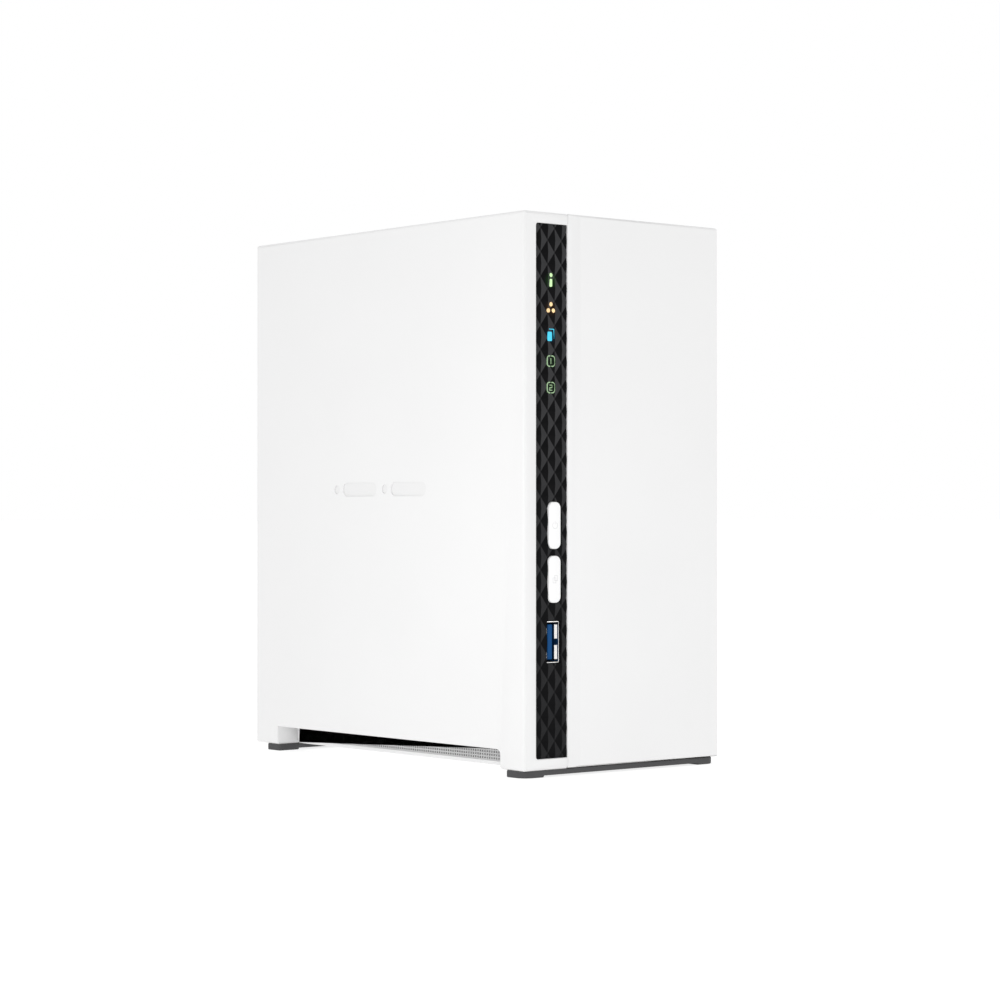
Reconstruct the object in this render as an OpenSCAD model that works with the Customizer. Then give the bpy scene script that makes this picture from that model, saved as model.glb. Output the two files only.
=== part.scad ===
// Two-bay desktop network storage enclosure with its drives, boards, fan and covers.
// Frame: origin at the centre of the footprint on the ground, +X right, +Y to the rear, +Z up.
// The front face looks along -Y.

/* [Enclosure] */
// Overall width, over both side walls
body_w = 90.2; // [88:0.1:94]
// Overall depth, front face to rear rim
body_d = 156.3; // [154:0.1:162]
// Overall height, ground to top face
body_h = 189.4; // [186:0.1:194]
// Wall thickness of the moulded shells
wall = 2.2; // [1.8:0.1:2.4]
// Radius of the four vertical edges
edge_r = 1.3; // [1.2:0.1:3]
// Radius of the top and bottom edges
rim_r = 1.2; // [0.8:0.1:2]

/* [Front strip] */
// Width of the black strip, from its pocket wall to the seam
strip_w = 14; // [13:0.1:15]
// White band left of the strip
strip_margin = 5.4; // [5:0.1:7]
// White band above and below the strip
strip_end = 3.8; // [3:0.1:6]
// Depth of the facet peaks below the front face
strip_recess = 0.5; // [0.3:0.1:0.8]
// Width of one diamond of the relief
diamond_w = 6.2; // [5:0.1:8]
// Height of one diamond of the relief
diamond_h = 8.2; // [7:0.1:10]
// Depth of the grooves between the diamonds
groove_depth = 0.42; // [0.2:0.02:0.6]

/* [Buttons] */
// Width of a button cap
button_w = 5.3; // [4.6:0.1:5.6]
// Height of a button cap
button_h = 15.8; // [14:0.1:16.5]
// Travel of a button cap
button_travel = 0.5; // [0.3:0.1:0.6]

/* [Base] */
// Height of the feet, ground to the underside of the base
foot_h = 2.4; // [2:0.1:3]
// Depth of a foot bar, front to rear
foot_depth = 9.2; // [8:0.1:10]
// Depth of the finger gap under each side wall
gap_depth = 9.7; // [9:0.1:10]
// Height of the finger gap
gap_h = 6.7; // [6:0.1:7]

/* [Fan] */
// Side of the square fan frame
fan_size = 70; // [68:1:70]
// Thickness of the fan frame
fan_t = 25; // [20:1:25]
// Number of blades
fan_blades = 7; // [5:1:9]

/* [Hidden] */
$fn = 64;
eps = 0.01;
far = 300;

// Outer planes of the enclosure
x_left = -body_w / 2;
x_right = body_w / 2;
y_front = -body_d / 2;
y_rear = body_d / 2;
z_base = foot_h;
z_top = body_h;

// Inner faces of the walls
x_in_left = x_left + wall;
x_in_right = x_right - wall;
y_in_front = y_front + wall;
z_floor = z_base + wall;
z_ceiling = z_top - wall;

// Seam between the left case and the sliding cover
seam_gap = 0.3;
x_seam = x_left + strip_margin + strip_w;
x_cover = x_seam + seam_gap;
slope_w = 5.6;
slope_depth = 0.5;
cover_gap = 0.3;

// Finger gaps under the side walls, with their grille windows
gap_front = 12.5;
gap_rear = 14.1;
gap_corner_r = 2;
y_gap0 = y_front + gap_front;
y_gap1 = y_rear - gap_rear;
x_gap = body_w / 2 - gap_depth;
z_gap = z_base + gap_h;
rebate_z0 = z_base + 1.4;
rebate_z1 = z_gap - 0.5;
window_z0 = z_floor + 0.2;
window_z1 = rebate_z1 - 0.5;
window_margin = 1;
grille_t = 1.2;
grille_hole = 0.7;
grille_pitch = 1.25;

// Front strip
strip_x0 = x_left + strip_margin;
strip_z0 = z_base + strip_end;
strip_z1 = z_top - strip_end;
y_peak = y_front + strip_recess;
strip_flange_w = 1.2;
y_strip_flange = y_in_front + 0.25;
y_strip_back = y_strip_flange + 1;
strip_r = 1;
land = 0.07;
ridge_x = strip_x0 + 2.6 - diamond_w;
ridge_z = 98.15;

// Controls on the strip
control_x = x_left + 13.8;
power_z = 84.35;
copy_z = 66.25;
front_usb_z = 45.15;
button_r = 2.1;
button_clear = 0.2;
y_button = y_front + 0.15;

// Indicator icons, from the top down
icon_status_z = 166.5;
icon_network_z = 157.3;
icon_copy_z = 148.2;
icon_drive_1_z = 139.5;
icon_drive_2_z = 130.6;
icon_zs = [icon_status_z, icon_network_z, icon_copy_z, icon_drive_1_z, icon_drive_2_z];
icon_x = control_x - 1.3;
icon_w = 3.6;
icon_h = 3.9;
icon_r = 1.1;
icon_stroke = 0.4;
icon_bridge = 0.45;
digit_w = 1.2;
digit_h = 2;
digit_stroke = 0.28;
icon_clear = 0.04;
lens_plate = 5.2;
y_lens = y_peak + 0.26;
y_lens_plate = y_strip_back - 1.2;

// Main board, standing parallel to the left wall with its parts facing left
board_t = 1.6;
board_x0 = -27.9;
board_x1 = board_x0 + board_t;
board_y0 = y_front + 10.2;
board_y1 = y_rear - 5.2;
board_z0 = 11;
board_z1 = 176;
board_step_y = -22;
board_step_z = 100;
post_r = 3;
board_posts = [[-62, 18], [40, 18], [44, 94], [-58, 171]];
screw_r = 1.45;
screw_hole_r = 1.5;
y_led0 = board_y0 - 0.3;
y_plunger = board_y0 - 2.5;
usb_len = 16;
y_front_usb = y_peak + 0.9;
cpu_y = 6;
cpu_z = 54;
cpu_h = 1.4;
cell_y = -40;
cell_z = 140;

// Rear panel
panel_t = 2.6;
panel_y1 = y_rear - 0.2;
panel_y0 = panel_y1 - panel_t;
panel_x0 = x_in_left + 0.2;
panel_x1 = x_in_right - cover_gap;
panel_z0 = z_floor + 0.2;
panel_z1 = z_ceiling - cover_gap;
head_depth = 1.7;
case_screw_x = 37.6;
case_screw_z = [15.4, 182];
case_boss_r = 2.9;
case_boss_len = 13;
panel_screws_at = [[-38.4, 180.6], [-38.4, 107], [10, 10.4]];

// Ports on the rear edge of the main board
port_mouth_y = panel_y1 - 0.9;
port_x = control_x;
power_jack_z = 23;
network_jack_z = 43.5;
rear_usb_z = [64, 82];
reset_z = 96;
y_reset = panel_y0 - 3;
plug_z1 = 92;
jack_w = 16;
jack_h = 13.4;
jack_len = 21;
lock_x = 31;
lock_z = 34;

// Fan
fan_x = 6.5;
fan_z = 143;
fan_y1 = panel_y0 - 0.05;
fan_y0 = fan_y1 - fan_t;
fan_bore_r = fan_size / 2 - 1.4;
fan_tip_r = fan_bore_r - 1;
fan_hub_r = 14;
fan_hole = 30;
fan_shaft_r = 1.5;
grille_r = fan_size / 2 - 2.5;
hex_pitch = 5.4;
hex_r = 2.65;

// Drives: long side upright, circuit side to the left, connectors down
drive_t = 26.1;
drive_w = 101.6;
drive_l = 147;
drive_x = [-20.3, 9.8];
drive_y0 = -65.6;
drive_z0 = 26.5;
drive_circuit_t = 1.6;
drive_lid_t = 1.4;
drive_hole_x = 6.35;
drive_hole_z = [28.5, 130.1];

// Drive cage of folded sheet
sheet = 1;
cage_x0 = -22.5;
cage_x1 = 37.7;
cage_y0 = drive_y0 - sheet;
cage_y1 = drive_y0 + drive_w + sheet;
cage_z0 = 24;
cage_z1 = 177;
cage_leg_x = [[-20, -4], [14, 30]];
cage_foot = 10;
cage_foot_z = 12;
cage_foot_x = [-12, 22];
cage_foot_y = [cage_y0 + 5, cage_y1 + 4.5];

// Backplane under the drives
backplane_z0 = 17.6;
backplane_z1 = backplane_z0 + board_t;
backplane_y = [-36, 34];
backplane_x = [-20.8, 34];
backplane_posts = [[-12, -31.5], [28, -31.5], [-12, 29], [28, 29]];
sata_w = 42;
sata_t = 5.2;
sata_y = -7;
sata_dx = 4.1;
sata_top = drive_z0 - 0.2;
sata_tongue_z = drive_z0 + 3.1;
riser_y = [16.5, 31];
riser_z1 = 23.6;

// ---------------------------------------------------------------- helpers

module box(x0, x1, y0, y1, z0, z1) {
    translate([x0, y0, z0]) cube([x1 - x0, y1 - y0, z1 - z0]);
}

// Extrudes a (y, z) outline from x0 to x1
module prism_x(x0, x1) {
    translate([x0, 0, 0]) rotate([90, 0, 90]) linear_extrude(x1 - x0) children();
}

// Extrudes an (x, z) outline from y0 to y1
module prism_y(y0, y1) {
    translate([0, y1, 0]) rotate([90, 0, 0]) linear_extrude(y1 - y0) children();
}

module prism_z(z0, z1) {
    translate([0, 0, z0]) linear_extrude(z1 - z0) children();
}

module rod_x(x0, x1, y, z, r) {
    translate([x0, y, z]) rotate([0, 90, 0]) cylinder(h = x1 - x0, r = r);
}

module rod_y(y0, y1, x, z, r) {
    translate([x, y0, z]) rotate([-90, 0, 0]) cylinder(h = y1 - y0, r = r);
}

module rod_z(z0, z1, x, y, r) {
    translate([x, y, z0]) cylinder(h = z1 - z0, r = r);
}

// Rectangle with round corners, from its lower left corner (a, b)
module round_rect(a, b, w, h, r) {
    translate([a + r, b]) square([w - 2 * r, h]);
    translate([a, b + r]) square([w, h - 2 * r]);
    for (i = [r, w - r], j = [r, h - r]) translate([a + i, b + j]) circle(r);
}

module centred_round_rect(cx, cz, w, h, r) {
    round_rect(cx - w / 2, cz - h / 2, w, h, r);
}

// Screw standing on the origin: head upwards from z = 0, shank downwards
module screw(head_r, head_h, shank_r, len) {
    arm = head_r * 0.62;
    half = head_r * 0.16;
    depth = head_h * 0.55;
    difference() {
        union() {
            cylinder(h = head_h, r = head_r);
            translate([0, 0, -len]) cylinder(h = len + eps, r = shank_r);
        }
        translate([-arm, -half, head_h - depth]) cube([2 * arm, 2 * half, depth + 1]);
        translate([-half, -arm, head_h - depth]) cube([2 * half, 2 * arm, depth + 1]);
    }
}

module to_rear(x, y, z) {
    translate([x, y, z]) rotate([-90, 0, 0]) children();
}

module to_front(x, y, z) {
    translate([x, y, z]) rotate([90, 0, 0]) children();
}

module to_right(x, y, z) {
    translate([x, y, z]) rotate([0, 90, 0]) children();
}

// ---------------------------------------------------------------- enclosure

// Solid block of the whole enclosure with all its outer roundings
module outer_block() {
    difference() {
        intersection() {
            prism_z(z_base, z_top) round_rect(x_left, y_front, body_w, body_d, edge_r);
            prism_y(y_front - 1, y_rear + 1)
                round_rect(x_left, z_base, body_w, z_top - z_base, rim_r);
            prism_x(x_left - 1, x_right + 1)
                round_rect(y_front, z_base, body_d, z_top - z_base, rim_r);
        }
        finger_gap_cut();
        mirror([1, 0, 0]) finger_gap_cut();
    }
}

// The notch under the left wall: its front upper corner is round
module finger_gap_cut() {
    prism_x(x_left - 1, -x_gap) {
        translate([y_gap0, 0]) square([y_gap1 - y_gap0, z_gap - gap_corner_r]);
        translate([y_gap0 + gap_corner_r, 0]) square([y_gap1 - y_gap0 - gap_corner_r, z_gap]);
        translate([y_gap0 + gap_corner_r, z_gap - gap_corner_r]) circle(gap_corner_r);
    }
}

// Material kept around a finger gap when the block is hollowed
module finger_gap_core() {
    box(x_left - 1, wall - x_gap, y_gap0 - wall, y_gap1 + wall, 0, z_gap + wall);
}

module inner_cavity() {
    difference() {
        box(x_in_left, x_in_right, y_in_front, far, z_floor, z_ceiling);
        finger_gap_core();
        mirror([1, 0, 0]) finger_gap_core();
    }
}

module shell() {
    difference() {
        outer_block();
        inner_cavity();
    }
}

// Rebate for the grille plate and the air window behind it
module grille_window() {
    y0 = y_gap0 + window_margin;
    y1 = y_gap1 - window_margin;
    box(-x_gap - 1, grille_t - x_gap, y0, y1, rebate_z0, rebate_z1);
    box(-x_gap - 1, wall - x_gap + 1, y0 + 1, y1 - 1, window_z0, window_z1);
}

// Left half of the casing with the whole base: wall, top band, front band, floor
module left_case() {
    color("white") difference() {
        union() {
            intersection() {
                shell();
                union() {
                    box(x_left - 1, x_seam, y_front - 1, far, 0, far);
                    box(x_seam - 1, panel_x1, y_in_front + cover_gap, far, 0, z_gap + wall);
                }
            }
            top_lip();
            side_flange();
            case_posts();
        }
        strip_opening();
        grille_window();
        mirror([1, 0, 0]) grille_window();
        case_post_holes();
        side_emblem();
    }
}

// Lip under the sliding cover's top edge, which its hooks run along
module top_lip() {
    y0 = y_strip_back + 0.2;
    y1 = panel_y0 - 0.5;
    box(x_seam - 4, x_seam, y0, y1, z_ceiling - 2.2, z_ceiling + eps);
    box(x_seam - 1, x_seam + 4, y0, y1, z_ceiling - 2.2, z_ceiling - 0.3);
}

// Upright flange that locates the cover's side wall
module side_flange() {
    flange_x = panel_x1 - 1.4;
    flange_h = 1.6;
    box(flange_x, panel_x1 - 0.2, y_gap0, y_gap1, z_gap + wall - eps, z_gap + wall + flange_h);
}

module strip_opening() {
    prism_y(y_front - 1, y_in_front + 1) strip_outline(0, 1);
}

// Outline of the strip: round corners on the left, cut square at the seam
module strip_outline(clear, beyond) {
    intersection() {
        round_rect(strip_x0 + clear, strip_z0 + clear, strip_w + wall,
            strip_z1 - strip_z0 - 2 * clear, strip_r);
        translate([strip_x0, strip_z0]) square([strip_w + beyond, strip_z1 - strip_z0]);
    }
}

module case_posts() {
    for (p = board_posts) rod_x(x_in_left - eps, board_x0, p[0], p[1], post_r);
    for (p = panel_screws_at) {
        rod_y(panel_y0 - 11, panel_y0, p[0], p[1], post_r);
        if (p[0] < 0) box(x_in_left - eps, p[0], panel_y0 - 11, panel_y0, p[1] - 1, p[1] + 1);
        if (p[0] > 0) box(p[0] - 1, p[0] + 1, panel_y0 - 11, panel_y0, z_floor - eps, p[1]);
    }
    for (x = cage_foot_x, y = cage_foot_y) rod_z(z_floor - eps, cage_foot_z, x, y, post_r);
    for (p = backplane_posts) rod_z(z_floor - eps, backplane_z0, p[0], p[1], post_r);
}

module case_post_holes() {
    for (p = board_posts) rod_x(board_x0 - 9, board_x0 + 1, p[0], p[1], screw_hole_r);
    for (p = panel_screws_at) rod_y(panel_y0 - 9, panel_y0 + 1, p[0], p[1], screw_hole_r);
    for (x = cage_foot_x, y = cage_foot_y)
        rod_z(cage_foot_z - 7, cage_foot_z + 1, x, y, screw_hole_r);
    for (p = backplane_posts)
        rod_z(backplane_z0 - 9, backplane_z0 + 1, p[0], p[1], screw_hole_r);
}

// Plain sunk emblem on the left wall: two drive bays, each a long bar with a dot
module side_emblem() {
    depth = 0.35;
    bar_l = 20;
    bar_h = 5;
    emblem_y = 1.2;
    emblem_z = 97;
    for (s = [-1, 1]) {
        prism_x(x_left - 1, x_left + depth) {
            centred_round_rect(emblem_y + s * 14.2 - 2.4, emblem_z, bar_l, bar_h, bar_h / 2 - eps);
            translate([emblem_y + s * 14.2 + 11.2, emblem_z]) circle(1.6);
        }
    }
}

// Right half: side wall, top and front; it slides forward off the case
module right_cover() {
    color("white") difference() {
        union() {
            difference() {
                intersection() {
                    shell();
                    box(x_cover, far, y_front - 1, far, z_base + 0.25, far);
                }
                box(x_cover - 1, x_in_right, y_in_front, far, 0, z_gap + wall + 3);
                seam_slope();
            }
            cover_hooks();
            case_bosses();
        }
        for (z = case_screw_z)
            rod_y(panel_y0 - case_boss_len - 1, panel_y0, case_screw_x, z, screw_hole_r + 0.05);
    }
}

// The cover's front falls back a little towards the seam
module seam_slope() {
    prism_z(0, far) polygon([
        [x_cover - 1, y_front - 1],
        [x_cover + slope_w, y_front - 1],
        [x_cover + slope_w, y_front],
        [x_cover, y_front + slope_depth],
        [x_cover - 1, y_front + slope_depth]
    ]);
}

// Hooks that run under the top lip
module cover_hooks() {
    hook_l = 10;
    lip_end = x_seam + 4;
    hook_t = 1.2;
    for (y = [-62, -20, 22, 56]) {
        box(lip_end + 0.4, lip_end + 0.4 + hook_t, y, y + hook_l, z_ceiling - 4, z_ceiling + eps);
        box(lip_end - 2.6, lip_end + 0.4 + eps, y, y + hook_l, z_ceiling - 4, z_ceiling - 2.7);
    }
}

module case_bosses() {
    y0 = panel_y0 - 0.4 - case_boss_len;
    y1 = panel_y0 - 0.4;
    for (z = case_screw_z) {
        rod_y(y0, y1, case_screw_x, z, case_boss_r);
        box(case_screw_x, x_in_right + eps, y0, y1, z + 0.6, z + 2.2);
    }
    box(case_screw_x - 1, case_screw_x + 1, y0, y1, case_screw_z[1], z_ceiling + eps);
}

// Rear panel with the fan grille, the port openings and the screw seats
module rear_panel() {
    color("white") difference() {
        prism_y(panel_y0, panel_y1)
            round_rect(panel_x0, panel_z0, panel_x1 - panel_x0, panel_z1 - panel_z0, 0.8);
        fan_grille_holes();
        for (i = [-1, 1], j = [-1, 1])
            screw_seat(fan_x + i * fan_hole, fan_z + j * fan_hole, 1.9, 3.5);
        for (z = case_screw_z) screw_seat(case_screw_x, z, 1.8, 3.9);
        for (p = panel_screws_at) screw_seat(p[0], p[1], 1.7, 2.9);
        port_openings();
    }
}

module screw_seat(x, z, hole_r, seat_r) {
    rod_y(panel_y0 - 1, panel_y1 + 1, x, z, hole_r);
    rod_y(panel_y1 - head_depth, panel_y1 + 1, x, z, seat_r);
}

// Honeycomb of hexagons inside the fan circle
module fan_grille_holes() {
    row_h = hex_pitch * sin(60);
    rows = floor(grille_r / row_h);
    columns = ceil(grille_r / hex_pitch) + 1;
    prism_y(panel_y0 - 1, panel_y1 + 1)
        for (j = [-rows:rows], i = [-columns:columns]) {
            x = (i + (abs(j) % 2) / 2) * hex_pitch;
            z = j * row_h;
            if (norm([x, z]) < grille_r - hex_r) translate([fan_x + x, fan_z + z])
                rotate(30) circle(hex_r, $fn = 6);
        }
}

module port_openings() {
    slack = 0.25;
    jack_x = board_x0 - jack_h / 2;
    prism_y(panel_y0 - 1, panel_y1 + 1) {
        centred_round_rect(jack_x, network_jack_z, jack_h + 2 * slack, jack_w + 2 * slack, 0.4);
        for (z = rear_usb_z) centred_round_rect(port_x, z, 6.9, 14.5, 0.5);
        translate([board_x0 - 6, power_jack_z]) circle(4.2);
        translate([port_x, reset_z]) circle(0.9);
        centred_round_rect(lock_x, lock_z, 3.2, 7.2, 0.6);
    }
}

// ---------------------------------------------------------------- front strip

// Black faceted strip: a flat plate whose face is cut by two families of grooves
module front_strip() {
    color("black") difference() {
        union() {
            prism_y(y_peak, y_strip_back) strip_outline(0.05, 0);
            box(strip_x0 - strip_flange_w, x_seam, y_strip_flange, y_strip_back,
                strip_z0 - strip_flange_w, strip_z1 + strip_flange_w);
        }
        diamond_grooves(1);
        diamond_grooves(-1);
        prism_y(y_peak - 1, y_strip_back + 1) {
            for (z = [power_z, copy_z]) centred_round_rect(control_x, z,
                button_w + 2 * button_clear, button_h + 2 * button_clear, button_r + button_clear);
            centred_round_rect(control_x, front_usb_z, 6.2, 14.4, 0.4);
            status_icon(0);
            network_icon(0);
            copy_icon(0);
            drive_icon(icon_drive_1_z, 1, 0);
            drive_icon(icon_drive_2_z, 2, 0);
        }
        for (z = icon_zs) lens_pocket(z, lens_plate + 0.1);
    }
}

// One family of V grooves: they cross the strip at the slope of the diamonds
module diamond_grooves(side) {
    spacing = diamond_w * diamond_h / norm([diamond_w, diamond_h]);
    half = spacing / 2 - land;
    rise = groove_depth / half;
    over = 0.3;
    reach = (strip_w + diamond_w) * norm([diamond_w, diamond_h]) / diamond_w;
    count = ceil((strip_z1 - strip_z0) / diamond_h / 2) + 4;
    for (k = [-count:count])
        translate([ridge_x, y_peak, ridge_z + (k + 0.5) * diamond_h])
            rotate([0, -side * atan2(diamond_h, diamond_w), 0])
                rotate([90, 0, 90]) translate([0, 0, -reach]) linear_extrude(2 * reach)
                    polygon([
                        [-over, -half - over / rise],
                        [-over, half + over / rise],
                        [groove_depth, 0]
                    ]);
}

// Indicator outlines in the (x, z) plane; inset shrinks them for the lenses
module status_icon(inset) {
    translate([icon_x, icon_status_z + 1.9]) circle(0.72 - inset);
    centred_round_rect(icon_x, icon_status_z - 0.7, 1.2 - 2 * inset, 2.7 - 2 * inset, 0.4 - inset);
}

module network_icon(inset) {
    for (p = [[0, 1.3], [-1.1, -0.8], [1.1, -0.8]])
        translate([icon_x + p[0], icon_network_z + p[1]]) circle(0.75 - inset);
}

module copy_icon(inset) {
    stroke = 0.3 - 2 * inset;
    far_x = icon_x + 1.45;
    top_z = icon_copy_z + 2.2;
    centred_round_rect(icon_x - 0.5, icon_copy_z - 0.4, 2 - 2 * inset, 3.2 - 2 * inset, 0.4);
    translate([far_x - 0.3 + inset, top_z - 3.4 + inset]) square([stroke, 3.4 - 2 * inset]);
    translate([far_x - 2.4 + inset, top_z - 0.3 + inset]) square([2.4 - 2 * inset, stroke]);
}

// Numbered frame; two bridges hold the middle of the black stencil
module drive_icon(z, number, inset) {
    w = icon_w - 2 * inset;
    h = icon_h - 2 * inset;
    stroke = icon_stroke - 2 * inset;
    difference() {
        centred_round_rect(icon_x, z, w, h, icon_r);
        centred_round_rect(icon_x, z, w - 2 * stroke, h - 2 * stroke, icon_r - icon_stroke);
        translate([icon_x - icon_bridge / 2 - inset, z - h])
            square([icon_bridge + 2 * inset, 2 * h]);
    }
    if (number == 1) digit_bar(icon_x - digit_stroke / 2, z - digit_h / 2,
        digit_stroke, digit_h, inset);
    if (number == 2) digit_two(icon_x - digit_w / 2, z - digit_h / 2, inset);
}

module digit_bar(x, z, w, h, inset) {
    translate([x + inset, z + inset]) square([w - 2 * inset, h - 2 * inset]);
}

module digit_two(x, z, inset) {
    mid = (digit_h - digit_stroke) / 2;
    for (k = [0:2]) digit_bar(x, z + k * mid, digit_w, digit_stroke, inset);
    digit_bar(x, z, digit_stroke, mid + digit_stroke, inset);
    digit_bar(x + digit_w - digit_stroke, z + mid, digit_stroke, mid + digit_stroke, inset);
}

module lens_pocket(z, size) {
    prism_y(y_lens_plate, y_strip_back + eps) centred_round_rect(icon_x, z, size, size, 0.5);
}

// A lens is a plate behind the strip whose raised figure fills the stencil
module lens(z) {
    prism_y(y_lens, y_lens_plate + 0.1) children();
    prism_y(y_lens_plate + 0.02, y_strip_back)
        centred_round_rect(icon_x, z, lens_plate, lens_plate, 0.5);
}

module status_lens() {
    color("palegreen") lens(icon_status_z) status_icon(icon_clear);
}

module network_lens() {
    color("orange") lens(icon_network_z) network_icon(icon_clear);
}

module copy_lens() {
    color("deepskyblue") lens(icon_copy_z) copy_icon(icon_clear);
}

module drive_1_lens() {
    color("limegreen") lens(icon_drive_1_z) drive_icon(icon_drive_1_z, 1, icon_clear);
}

module drive_2_lens() {
    color("limegreen") lens(icon_drive_2_z) drive_icon(icon_drive_2_z, 2, icon_clear);
}

// Clear comb that carries the light from the board edge to the lenses
module light_guide() {
    color("gainsboro") union() {
        for (z = icon_zs)
            box(control_x - 2.8, board_x0 - 0.6, y_strip_back, y_led0 - 0.1, z - 2.2, z + 2.2);
        box(control_x - 2.8, control_x - 1.3, y_strip_back + 2, y_strip_back + 4,
            icon_drive_2_z - 2.2, icon_status_z + 2.2);
    }
}

module button(z) {
    flange = 0.8;
    y_stem = y_strip_back + 0.2 + flange;
    prism_y(y_button, y_strip_back + 0.3)
        centred_round_rect(control_x, z, button_w, button_h, button_r);
    prism_y(y_strip_back + 0.2, y_stem) centred_round_rect(control_x, z,
        button_w + 2 * flange, button_h + 2 * flange, button_r + flange);
    rod_y(y_stem - eps, y_plunger - button_travel - 0.05, control_x, z, 1.7);
}

module power_button() {
    color("white") button(power_z);
}

module copy_button() {
    color("white") button(copy_z);
}

// ---------------------------------------------------------------- electronics

module main_board() {
    color("darkgreen") difference() {
        prism_x(board_x0, board_x1) polygon([
            [board_y0, board_z0],
            [board_y1, board_z0],
            [board_y1, board_step_z],
            [board_step_y, board_step_z],
            [board_step_y, board_z1],
            [board_y0, board_z1]
        ]);
        for (p = board_posts) rod_x(board_x0 - 1, board_x1 + 1, p[0], p[1], 1.7);
    }
}

// A part of height h on the left face of the board, centred at (y, z)
module chip(y, z, w, l, h) {
    box(board_x0 - h, board_x0, y - w / 2, y + w / 2, z - l / 2, z + l / 2);
}

module indicator_leds() {
    color("ivory") for (z = icon_zs)
        box(board_x0 - 2, board_x0, y_led0, y_led0 + 3, z - 1.5, z + 1.5);
}

module press_switch(z) {
    chip_y = board_y0 + 0.2;
    box(board_x0 - 6.4, board_x0, y_plunger + 0.9, chip_y + 2.6, z - 3, z + 3);
    rod_y(y_plunger, y_plunger + 1, control_x, z, 1.5);
}

module power_switch() {
    color("dimgray") press_switch(power_z);
}

module copy_switch() {
    color("dimgray") press_switch(copy_z);
}

module reset_switch() {
    color("dimgray") difference() {
        box(board_x0 - 6.4, board_x0, y_reset - 6.5, y_reset, reset_z - 3, reset_z + 3);
        rod_y(y_reset - 1.5, y_reset + 1, port_x, reset_z, 1.3);
    }
}

module reset_button() {
    color("black") rod_y(y_reset - 1.1, y_reset + 1.6, port_x, reset_z, 1.15);
}

module processor() {
    color("black") chip(cpu_y, cpu_z, 19, 19, cpu_h);
}

module heatsink() {
    base = 2;
    fin_h = 7;
    fins = 9;
    size = 28;
    x0 = board_x0 - cpu_h;
    color("silver") union() {
        box(x0 - base, x0, cpu_y - size / 2, cpu_y + size / 2, cpu_z - size / 2, cpu_z + size / 2);
        for (i = [0:fins - 1]) {
            y = cpu_y - size / 2 + i * (size - 1) / (fins - 1);
            box(x0 - base - fin_h, x0 - base + eps, y, y + 1, cpu_z - size / 2, cpu_z + size / 2);
        }
    }
}

module memory_chips() {
    color("black") for (z = [28, 80], y = [cpu_y - 8, cpu_y + 8]) chip(y, z, 9, 13, 1.2);
}

module capacitors() {
    color("slategray") for (p = [[-52, 30], [-44, 30], [-52, 98], [-44, 98], [28, 30], [28, 80]])
        rod_x(board_x0 - 8.5, board_x0, p[0], p[1], 3.1);
}

module inductors() {
    color("gray") for (z = [36, 44, 52, 60]) chip(34, z, 6.6, 6.6, 3.4);
}

module buzzer() {
    color("black") difference() {
        rod_x(board_x0 - 7, board_x0, -50, 112, 6);
        rod_x(board_x0 - 8, board_x0 - 3, -50, 112, 1);
    }
}

module coin_cell_holder() {
    color("ivory") difference() {
        box(board_x0 - 4.6, board_x0, cell_y - 11.5, cell_y + 11.5, cell_z - 11.5, cell_z + 11.5);
        rod_x(board_x0 - 5, board_x0 - 1.2, cell_y, cell_z, 10.1);
        box(board_x0 - 5, board_x0 - 1.2, cell_y - 4, cell_y + 4, cell_z - 12, cell_z);
    }
}

module coin_cell() {
    color("silver") rod_x(board_x0 - 4.4, board_x0 - 1.2, cell_y, cell_z, 10);
}

// Network socket with its stepped mouth
module network_jack() {
    cx = board_x0 - jack_h / 2;
    y0 = port_mouth_y - jack_len;
    color("silver") difference() {
        box(board_x0 - jack_h, board_x0, y0, port_mouth_y,
            network_jack_z - jack_w / 2, network_jack_z + jack_w / 2);
        prism_y(port_mouth_y - 14, port_mouth_y + 1) {
            centred_round_rect(cx + 0.4, network_jack_z, 8, 11.8, 0.2);
            translate([cx - 4.8, network_jack_z - 3]) square([2, 6]);
        }
    }
}

module power_jack() {
    x = board_x0 - 6;
    color("black") difference() {
        union() {
            box(board_x0 - 11, board_x0, port_mouth_y - 14, port_mouth_y - 3,
                power_jack_z - 4.5, power_jack_z + 4.5);
            rod_y(port_mouth_y - 4, port_mouth_y, x, power_jack_z, 4);
        }
        difference() {
            rod_y(port_mouth_y - 10, port_mouth_y + 1, x, power_jack_z, 2.8);
            rod_y(port_mouth_y - 11, port_mouth_y - 1, x, power_jack_z, 1);
        }
    }
}

// Folded socket shell of 14.1 x 5.9 mm, open at the mouth, with two board legs
module usb_shell(z, y_mouth, dir) {
    t = 0.4;
    y_back = y_mouth - dir * usb_len;
    y_inner = y_back + dir * t;
    difference() {
        box(port_x - 2.95, port_x + 2.95, min(y_mouth, y_back), max(y_mouth, y_back),
            z - 7.05, z + 7.05);
        box(port_x - 2.95 + t, port_x + 2.95 - t, min(y_mouth + dir, y_inner),
            max(y_mouth + dir, y_inner), z - 7.05 + t, z + 7.05 - t);
    }
    for (s = [-1, 1], k = [2.5, 6.5]) {
        y = y_back + dir * k;
        box(port_x + 2.9, board_x0, y - 0.8, y + 0.8, z + s * 6.4 - 0.5, z + s * 6.4 + 0.5);
    }
}

module usb_tongue(z, y_mouth, dir) {
    y_back = y_mouth - dir * (usb_len - 0.4);
    y_tip = y_mouth - dir * 1.2;
    box(port_x - 1.2, port_x + 0.8, min(y_tip, y_back), max(y_tip, y_back), z - 5.9, z + 5.9);
    box(port_x - 2.5, port_x + 2.5, min(y_back, y_back + dir * 2), max(y_back, y_back + dir * 2),
        z - 6.5, z + 6.5);
}

module front_usb_shell() {
    color("silver") usb_shell(front_usb_z, y_front_usb, -1);
}

module front_usb_tongue() {
    color("royalblue") usb_tongue(front_usb_z, y_front_usb, -1);
}

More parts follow.
